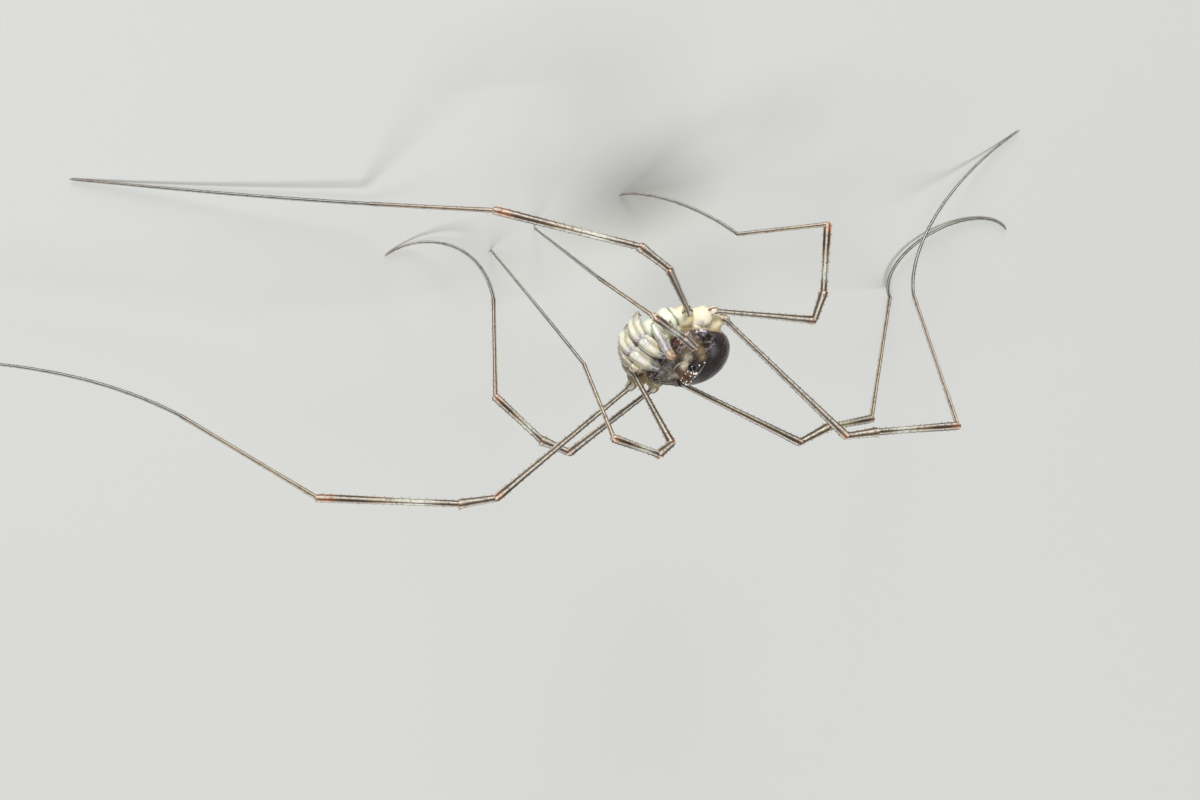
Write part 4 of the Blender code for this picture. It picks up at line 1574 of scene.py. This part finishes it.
@dataclass(frozen=True)
class LegForm:
    """Thickness, colours and hairs that all legs share, from the body outwards.

    A row of hairs gives the kind, how many stand on a millimetre, and how many stand there in all where
    that doesn't depend on the length. A ring of the tarsus has its width and tone at its near end, and what
    is added to them up to its far end. An article starts sunk in the one before and overlaps the next. A
    shape is the cap's reach, the points in a ring and the height of the five edges. The claw's line gives
    ahead and up from the tarsus's end, and the knob's reach runs from deep in the coxa to the femur.
    """

    femur: Knots = (
        (0.0, 0.075), (0.03, 0.10), (0.10, 0.088), (0.50, 0.105), (0.88, 0.135), (0.96, 0.155), (1.0, 0.14)
    )
    patella: Knots = ((0.0, 0.11), (0.10, 0.125), (0.60, 0.145), (0.88, 0.175), (1.0, 0.17))
    tibia: Knots = ((0.0, 0.10), (0.06, 0.12), (0.50, 0.125), (0.88, 0.145), (1.0, 0.14))
    metatarsus: Knots = ((0.0, 0.075), (0.05, 0.085), (0.30, 0.072), (0.90, 0.07), (0.97, 0.08), (1.0, 0.07))
    tarsus: Knots = ((0.0, 0.06), (0.05, 0.066), (0.50, 0.056), (1.0, 0.036))
    femur_tones: Tones = (
        (0.0, INK.tan), (0.08, INK.grey_tan), (0.82, INK.grey_tan), (0.92, INK.brown), (1.0, INK.orange)
    )
    patella_tones: Tones = ((0.0, INK.brown), (0.2, INK.grey_tan), (0.8, INK.grey_tan), (1.0, INK.pink))
    tibia_tones: Tones = (
        (0.0, INK.brown), (0.15, INK.grey_tan), (0.30, INK.green_white), (0.58, INK.tan),
        (0.68, INK.brown), (0.84, INK.brown), (0.92, INK.orange), (1.0, INK.pink),
    )
    metatarsus_tones: Tones = (
        (0.0, INK.pink), (0.1, INK.tan), (0.6, INK.tan), (0.95, INK.grey_tan), (1.0, INK.dark)
    )
    tarsus_tones: Tones = ((0.0, INK.dark), (0.04, INK.steel), (0.6, INK.steel), (1.0, INK.brown))
    femur_hairs: tuple = LONG_ARTICLE_HAIRS
    patella_hairs: tuple = (
        (Hair(0.055, 0.016, 0.7, INK.dark, 5, SPINE_ROWS, (0.1, 0.85)), 0.0, 20),
        (Hair(0.12, 0.04, 1.0, INK.cream, 6, (0.0, 72.0, 288.0), (0.86, 0.95), Part.SHELL), 0.0, 3),
    )
    tibia_hairs: tuple = LONG_ARTICLE_HAIRS
    metatarsus_hairs: tuple = ((Hair(0.075, 0.004, 1.6, INK.dark), 26.0, 0),)
    tarsus_hair: Hair = Hair(0.06, 0.004, 1.6, INK.dark, span=(0.02, 0.97))
    tarsus_hairs_to_mm: float = 30.0
    rings_to_mm: float = 4.5
    ring_power: float = 0.75
    ring_width: tuple[float, float] = (0.90, 0.14)
    ring_tone: tuple[float, float] = (0.75, 0.35)
    stout_shape: Triple = (0.10, 20, 0.05)
    thin_shape: Triple = (0.05, 10, 0.0)
    tarsus_cap: float = 0.04
    tarsus_spacing: float = 0.035
    claw: Knots = ((0.0, 0.022), (1.0, 0.005))
    claw_line: Knots = ((-0.04, 0.0), (0.06, 0.012), (0.11, -0.016))
    back_tilt: float = 0.6
    lifted_toe: float = 1.0
    least_level: float = 0.05
    spacing: float = 0.05
    sunk: float = 0.06
    overlap: float = 0.10
    last_overlap: float = 0.05
    knob_reach: Triple = (-0.22, -0.02, 0.20)
    knob: Knots = ((0.0, 0.20), (0.4, 0.19), (0.7, 0.17), (1.0, 0.12))
    knob_tones: Tones = (
        (0.0, INK.cream), (0.30, INK.yellow), (0.42, INK.orange), (0.55, INK.cream), (1.0, INK.tan)
    )


FORM = LegForm()


@dataclass
class Leg:
    """One leg, from the trochanter to the claw, as one piece.

    Attributes:
        number: 1 to 4 from the front.
        side: the side it is on.
        base: where it leaves the coxa, on the body.
        lengths: lengths of femur, patella, tibia, metatarsus and tarsus.
        pose: bearing from straight ahead towards its own side, and slope, of the first four, in degrees.
        foot: the tarsus's bearings at its start and end.
        drop: how soon the tarsus comes down to the floor.
        toe: height of the tarsus's end in the solids.
        shade: what the tones are multiplied by; a painted shade that darkens a leg lying away from the light.
    """

    number: int
    side: Side
    base: Triple
    lengths: tuple[float, ...]
    pose: tuple[tuple[float, float], ...]
    foot: tuple[float, float]
    drop: float
    toe: float = 0.12
    shade: Triple = (1.0, 1.0, 1.0)

    @property
    def name(self) -> str:
        """Return the leg's name, such as leg_left_2."""
        return f"leg_{self.side.word}_{self.number}"

    @property
    def rests(self) -> bool:
        """Return whether the leg stands on the floor."""
        return self.toe < FORM.lifted_toe

    def moves(self, bearing: Array, level: Array, rise: Array) -> Array:
        """Return moves of these level and upward sizes, turned by the bearing from the head, in degrees."""
        turn = np.radians(bearing)
        return np.stack((-self.side.value * np.sin(turn) * level, -np.cos(turn) * level, rise), axis=-1)

    def joints(self) -> Array:
        """Return the leg's joints: its base, then the end of each of the first four articles."""
        pose = np.array(self.pose, float)
        slope = np.radians(pose[:, 1])
        moves = self.moves(pose[:, 0], np.cos(slope), np.sin(slope)) * np.array(self.lengths[:4])[:, None]
        return BODY.place(self.base, self.side) + np.concatenate((np.zeros((1, 3)), np.cumsum(moves, axis=0)))

    def foot_path(self, start: Array, count: int = 240) -> Path:
        """Return the tarsus's line: it falls by a power of the way left to go, and turns evenly.

        Args:
            start: the joint that it leaves.
            count: how many steps it is worked out in.

        Returns:
            The line, brought down at its end so that the thin toe rests on the floor.
        """
        length = self.lengths[4]
        share = (np.arange(count) + 0.5) / count
        sink = -(start[2] - self.toe) * self.drop * (1.0 - share) ** (self.drop - 1.0) / length
        level = np.maximum(FORM.least_level, np.sqrt(np.maximum(0.0, 1.0 - sink * sink)))
        moves = self.moves(self.foot[0] + (self.foot[1] - self.foot[0]) * share, level, sink)
        line = start + np.concatenate((np.zeros((1, 3)), np.cumsum(moves * length / count, axis=0)))
        if self.rests:
            rest = FORM.tarsus[-1][1]
            lift = (line[:, 2] - line[-1, 2]) / max(start[2] - line[-1, 2], 1e-6)
            line[:, 2] = rest + (start[2] - rest) * lift
        return Path(line)

    @staticmethod
    def back(direction: Array, outward: Array) -> Array:
        """Return the direction of an article's back: up, tilted so that it is never along the article."""
        sign = 1.0 if direction[2] >= 0.0 else -1.0
        return unit(UP - FORM.back_tilt * sign * outward)

    def article(self, kind: str, path: Path, back: Array, rng: np.random.Generator) -> list[Surface]:
        """Build one of the first four articles with its spines and bristles.

        Args:
            kind: the article's name.
            path: its middle line.
            back: the direction of its back.
            rng: the source of chance.

        Returns:
            Its surfaces.
        """
        knots, tones, hairs = (getattr(FORM, kind + part) for part in ("", "_tones", "_hairs"))
        cap, sides, ridges = FORM.thin_shape if kind == "metatarsus" else FORM.stout_shape
        tones = tinted(tones, self.shade)
        form = limb(path, knots, tones, back, FORM.spacing, cap, sides=sides, ridges=ridges)
        return [form] + [
            bristles(form, rng, fixed or int(to_mm * path.length), hair) for hair, to_mm, fixed in hairs
        ]

    def tarsus(self, path: Path, back: Array, rng: np.random.Generator) -> list[Surface]:
        """Build the tarsus: a fine line of short rings, each a little wider at its far end, and the claw.

        Args:
            path: its middle line.
            back: the direction of its back.
            rng: the source of chance.

        Returns:
            Its surfaces.
        """
        distance = stations(path.length, FORM.tarsus_cap, FORM.tarsus_spacing)
        shares = distance / path.length
        beat = np.mod(shares**FORM.ring_power * FORM.rings_to_mm * path.length, 1.0)
        width, tint = (near + added * beat for near, added in (FORM.ring_width, FORM.ring_tone))
        radii = profile(shares, FORM.tarsus) * width * round_ends(distance, path.length, FORM.tarsus_cap)
        tone = ramp(shares, tinted(FORM.tarsus_tones, self.shade)) * tint[:, None]
        form = sweep(path, distance, radii, back, tone, 10)
        hairs = bristles(form, rng, int(FORM.tarsus_hairs_to_mm * path.length), FORM.tarsus_hair)
        end = path.points[-1]
        ahead = unit(end - path.points[-12])
        if self.rests:
            ahead = unit(ahead * np.array((1.0, 1.0, 0.0)) + np.array((1e-6, 0.0, 0.0)))
        hook = [end + ahead * along + UP * rise for along, rise in FORM.claw_line]
        claw = limb(Path.through(hook), FORM.claw, HOOK_TONES, UP, 0.015, 0.01, sides=6, part=Part.CLAW)
        return [form, hairs, claw]

    def build(self, wardrobe: Wardrobe, rng: np.random.Generator) -> bpy.types.Object:
        """Build the whole leg.

        Args:
            wardrobe: the materials.
            rng: the source of chance.

        Returns:
            The piece.
        """
        joints = self.joints()
        foot = self.foot_path(joints[4])
        outward = unit((foot.points[-1] - joints[0]) * np.array((1.0, 1.0, 0.0)))
        first = unit(joints[1] - joints[0])
        inside = BODY.place((self.base[0] * 0.5, self.base[1] * 0.4, -0.7), self.side)
        root = unit(joints[0] - inside)
        knob = [joints[0] + way * reach for way, reach in zip((root, root, first), FORM.knob_reach)]
        tones = tinted(FORM.knob_tones, self.shade)
        forms = [limb(Path.through(knob), FORM.knob, tones, self.back(first, outward), 0.03, 0.08)]
        for kind, start, end in zip(LEG_ARTICLES, joints, joints[1:]):
            direction = unit(end - start)
            overlap = FORM.last_overlap if kind == "metatarsus" else FORM.overlap
            path = Path.through((start - direction * FORM.sunk, end + direction * overlap))
            forms += self.article(kind, path, self.back(direction, outward), rng)
        ahead = unit(foot.points[12] - foot.points[0])
        forms += self.tarsus(foot, self.back(ahead, outward), rng)
        whole = Surface.join(forms)
        whole.points[:, 2] = np.maximum(whole.points[:, 2], 0.0)
        piece = whole.piece(self.name, wardrobe.pick("leg", "spine", "claw"))
        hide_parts(*(f"{self.name}_{kind}" for kind in LEG_ARTICLES))
        return piece


def make_legs() -> list[Leg]:
    """Return the eight legs in the photograph's pose."""
    bases = {1: (1.35, 1.10, -0.25), 2: (0.85, 1.80, -0.25), 3: (-0.45, 1.85, -0.25), 4: (-1.40, 1.50, -0.25)}
    lengths = {
        1: (3.50, 1.00, 2.50, 3.30, 6.20),
        2: (6.35, 1.30, 5.15, 5.75, 11.40),
        3: (3.70, 1.05, 2.50, 3.50, 4.90),
        4: (5.85, 1.15, 3.65, 5.65, 7.40),
    }
    poses = {
        (1, Side.LEFT): (((-58, 83), (7, 32), (-8, 0), (172, -85)), (89, 73), 1.0),
        (2, Side.LEFT): (((45, 22), (31, -4), (21, -10), (-1, -27)), (-1, 11), 3.3),
        (3, Side.LEFT): (((64, 9), (15, -33), (-14, -27), (-65, -38)), (-55, 75), 1.8),
        (4, Side.LEFT): (((178, 16), (224, -10), (174, -20), (213, -60)), (326, 153), 2.0),
        (1, Side.RIGHT): (((46, 48), (23, 3), (21, 6), (-100, -62)), (-125, -124), 1.0),
        (2, Side.RIGHT): (((34, 17), (7, -27), (-18, -21), (-86, -41)), (-14, -9), 1.3),
        (3, Side.RIGHT): (((156, 15), (86, -30), (65, -31), (-24, -1)), (-66, -66), 1.2),
        (4, Side.RIGHT): (((179, 52), (151, 4), (166, -3), (138, -83)), (118, 106), 2.1),
    }
    # Painted shade: the left fourth leg's colours are darkened and turned olive.
    special = {(2, Side.LEFT): {"toe": 3.0}, (4, Side.LEFT): {"shade": (0.75, 0.72, 0.45)}}
    return [
        Leg(number, side, bases[number], lengths[number], *row, **special.get((number, side), {}))
        for (number, side), row in poses.items()
    ]


def turn_to(x: Array, y: Array, z: Array) -> Quaternion:
    """Return the turn that carries the three axes to these directions."""
    return Matrix(np.stack((x, y, z), axis=-1).tolist()).to_quaternion()


def stand(name: str, data: bpy.types.ID, place: Array, turn: Quaternion) -> bpy.types.Object:
    """Set a lamp or the camera in the scene.

    Args:
        name: the object's name.
        data: the lamp or the camera.
        place: where it stands, in millimetres.
        turn: its rotation.

    Returns:
        The object.
    """
    made = bpy.data.objects.new(name, data)
    bpy.context.scene.collection.objects.link(made)
    made.location = place * MM
    made.rotation_mode = "QUATERNION"
    made.rotation_quaternion = turn
    return made


@dataclass
class Studio:
    """Floor, lights and camera.

    Attributes:
        target: what the camera and the lamps look at.
        distance: from the target to the camera.
        bearing: turn of the line of sight from straight behind, in degrees.
        elevation: the camera's height above the target, in degrees.
        roll: turn about the line of sight, in degrees.
        lens: focal length.
        lamps: each lamp's name, direction from the animal, distance, side and power in watts.
        floor_half: half the floor's side.
        floor_tones: the two tints of the floor.
        floor_clouds: scale of the floor's tint, in clouds to a metre.
        floor_roughness: its roughness.
        sky: colour of the light from all round.
        sky_strength: its strength.
    """

    target: Triple = (2.49, 3.85, 5.58)
    distance: float = 200.0
    bearing: float = 35.3
    elevation: float = 30.7
    roll: float = -155.2
    lens: float = 174.0
    lamps: tuple = (
        ("key", (-0.72, -0.68, 0.10), 320.0, 56.0, 0.85),
        ("fill", (-0.30, -0.75, 0.75), 360.0, 120.0, 0.22),
        ("top", (0.45, 0.25, 0.95), 420.0, 260.0, 1.0),
    )
    floor_half: float = 3000.0
    floor_tones: tuple[Triple, Triple] = (srgb(226, 227, 222), srgb(233, 233, 229))
    floor_clouds: float = 12.0
    floor_roughness: float = 0.9
    sky: Triple = (0.95, 0.97, 1.0)
    sky_strength: float = 0.25

    def floor(self) -> None:
        """Build the pale floor: one large level sheet with a faint cloudy tint."""
        corners = np.array(((-1.0, -1.0, 0.0), (1.0, -1.0, 0.0), (1.0, 1.0, 0.0), (-1.0, 1.0, 0.0)))
        mesh = bpy.data.meshes.new("floor")
        mesh.from_pydata((corners * self.floor_half * MM).tolist(), [], [(0, 1, 2, 3)])
        material = bpy.data.materials.new("floor_paper")
        material.use_nodes = True
        graph = Graph(material.node_tree)
        clouds = graph.noise(graph.place(), self.floor_clouds)
        shader = material.node_tree.nodes["Principled BSDF"]
        graph.feed(shader.inputs["Base Color"], graph.mix(clouds, *self.floor_tones))
        shader.inputs["Roughness"].default_value = self.floor_roughness
        piece = dressed(mesh, "floor", [material])

    def lamp(self, name: str, direction: Triple, distance: float, size: float, power: float) -> None:
        """Add one square soft light that faces the animal.

        Args:
            name: the light's name.
            direction: from the animal to the light.
            distance: how far it stands, in millimetres.
            size: side of the square, in millimetres.
            power: its power in watts.
        """
        data = bpy.data.lights.new(name, "AREA")
        data.size = size * MM
        data.energy = power
        away = unit(np.array(direction))
        side = unit(np.cross(UP, away))
        stand(name, data, np.array(self.target) + away * distance, turn_to(side, np.cross(away, side), away))

    def camera(self) -> None:
        """Set the camera by its bearing, elevation and roll about the line of sight."""
        bearing, rise, roll = (math.radians(v) for v in (self.bearing, self.elevation, self.roll))
        level = math.cos(rise)
        look = np.array((math.sin(bearing) * level, math.cos(bearing) * level, -math.sin(rise)))
        right = unit(np.cross(look, UP))
        up = math.cos(roll) * np.cross(right, look) + math.sin(roll) * right
        data = bpy.data.cameras.new("camera")
        data.lens = self.lens
        data.sensor_width = 36.0
        data.clip_start = 0.01
        data.clip_end = 20.0
        place = np.array(self.target) - look * self.distance
        bpy.context.scene.camera = stand("camera", data, place, turn_to(np.cross(look, up), up, -look))

    def build(self) -> None:
        """Build the floor, the lights and the camera."""
        self.floor()
        for lamp in self.lamps:
            self.lamp(*lamp)
        world = bpy.data.worlds.new("studio")
        world.use_nodes = True
        sky = world.node_tree.nodes["Background"].inputs
        sky["Color"].default_value = (*self.sky, 1.0)
        sky["Strength"].default_value = self.sky_strength
        bpy.context.scene.world = world
        bpy.context.scene.view_settings.view_transform = "Standard"
        self.camera()


def main() -> None:
    """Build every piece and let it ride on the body."""
    logging.basicConfig(level=logging.INFO, format="%(name)s: %(message)s")
    rng = np.random.default_rng(HAIR_SEED)
    Studio().build()
    wardrobe = Wardrobe()
    pieces = Skin().build(wardrobe)
    pieces += [Eye(side).build(wardrobe) for side in Side]
    pieces += [Chelicera(side).build(wardrobe, rng) for side in Side]
    pieces += [palp.build(wardrobe, rng) for palp in make_pedipalps()]
    pieces += [leg.build(wardrobe, rng) for leg in make_legs()]
    total = 0
    for piece in pieces:
        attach(piece, "root")
        piece.data.calc_loop_triangles()
        count = len(piece.data.loop_triangles)
        total += count
        log.info("%s: %d triangles", piece.name, count)
    log.info("whole model: %d triangles", total)


if __name__ == "__main__":
    main()
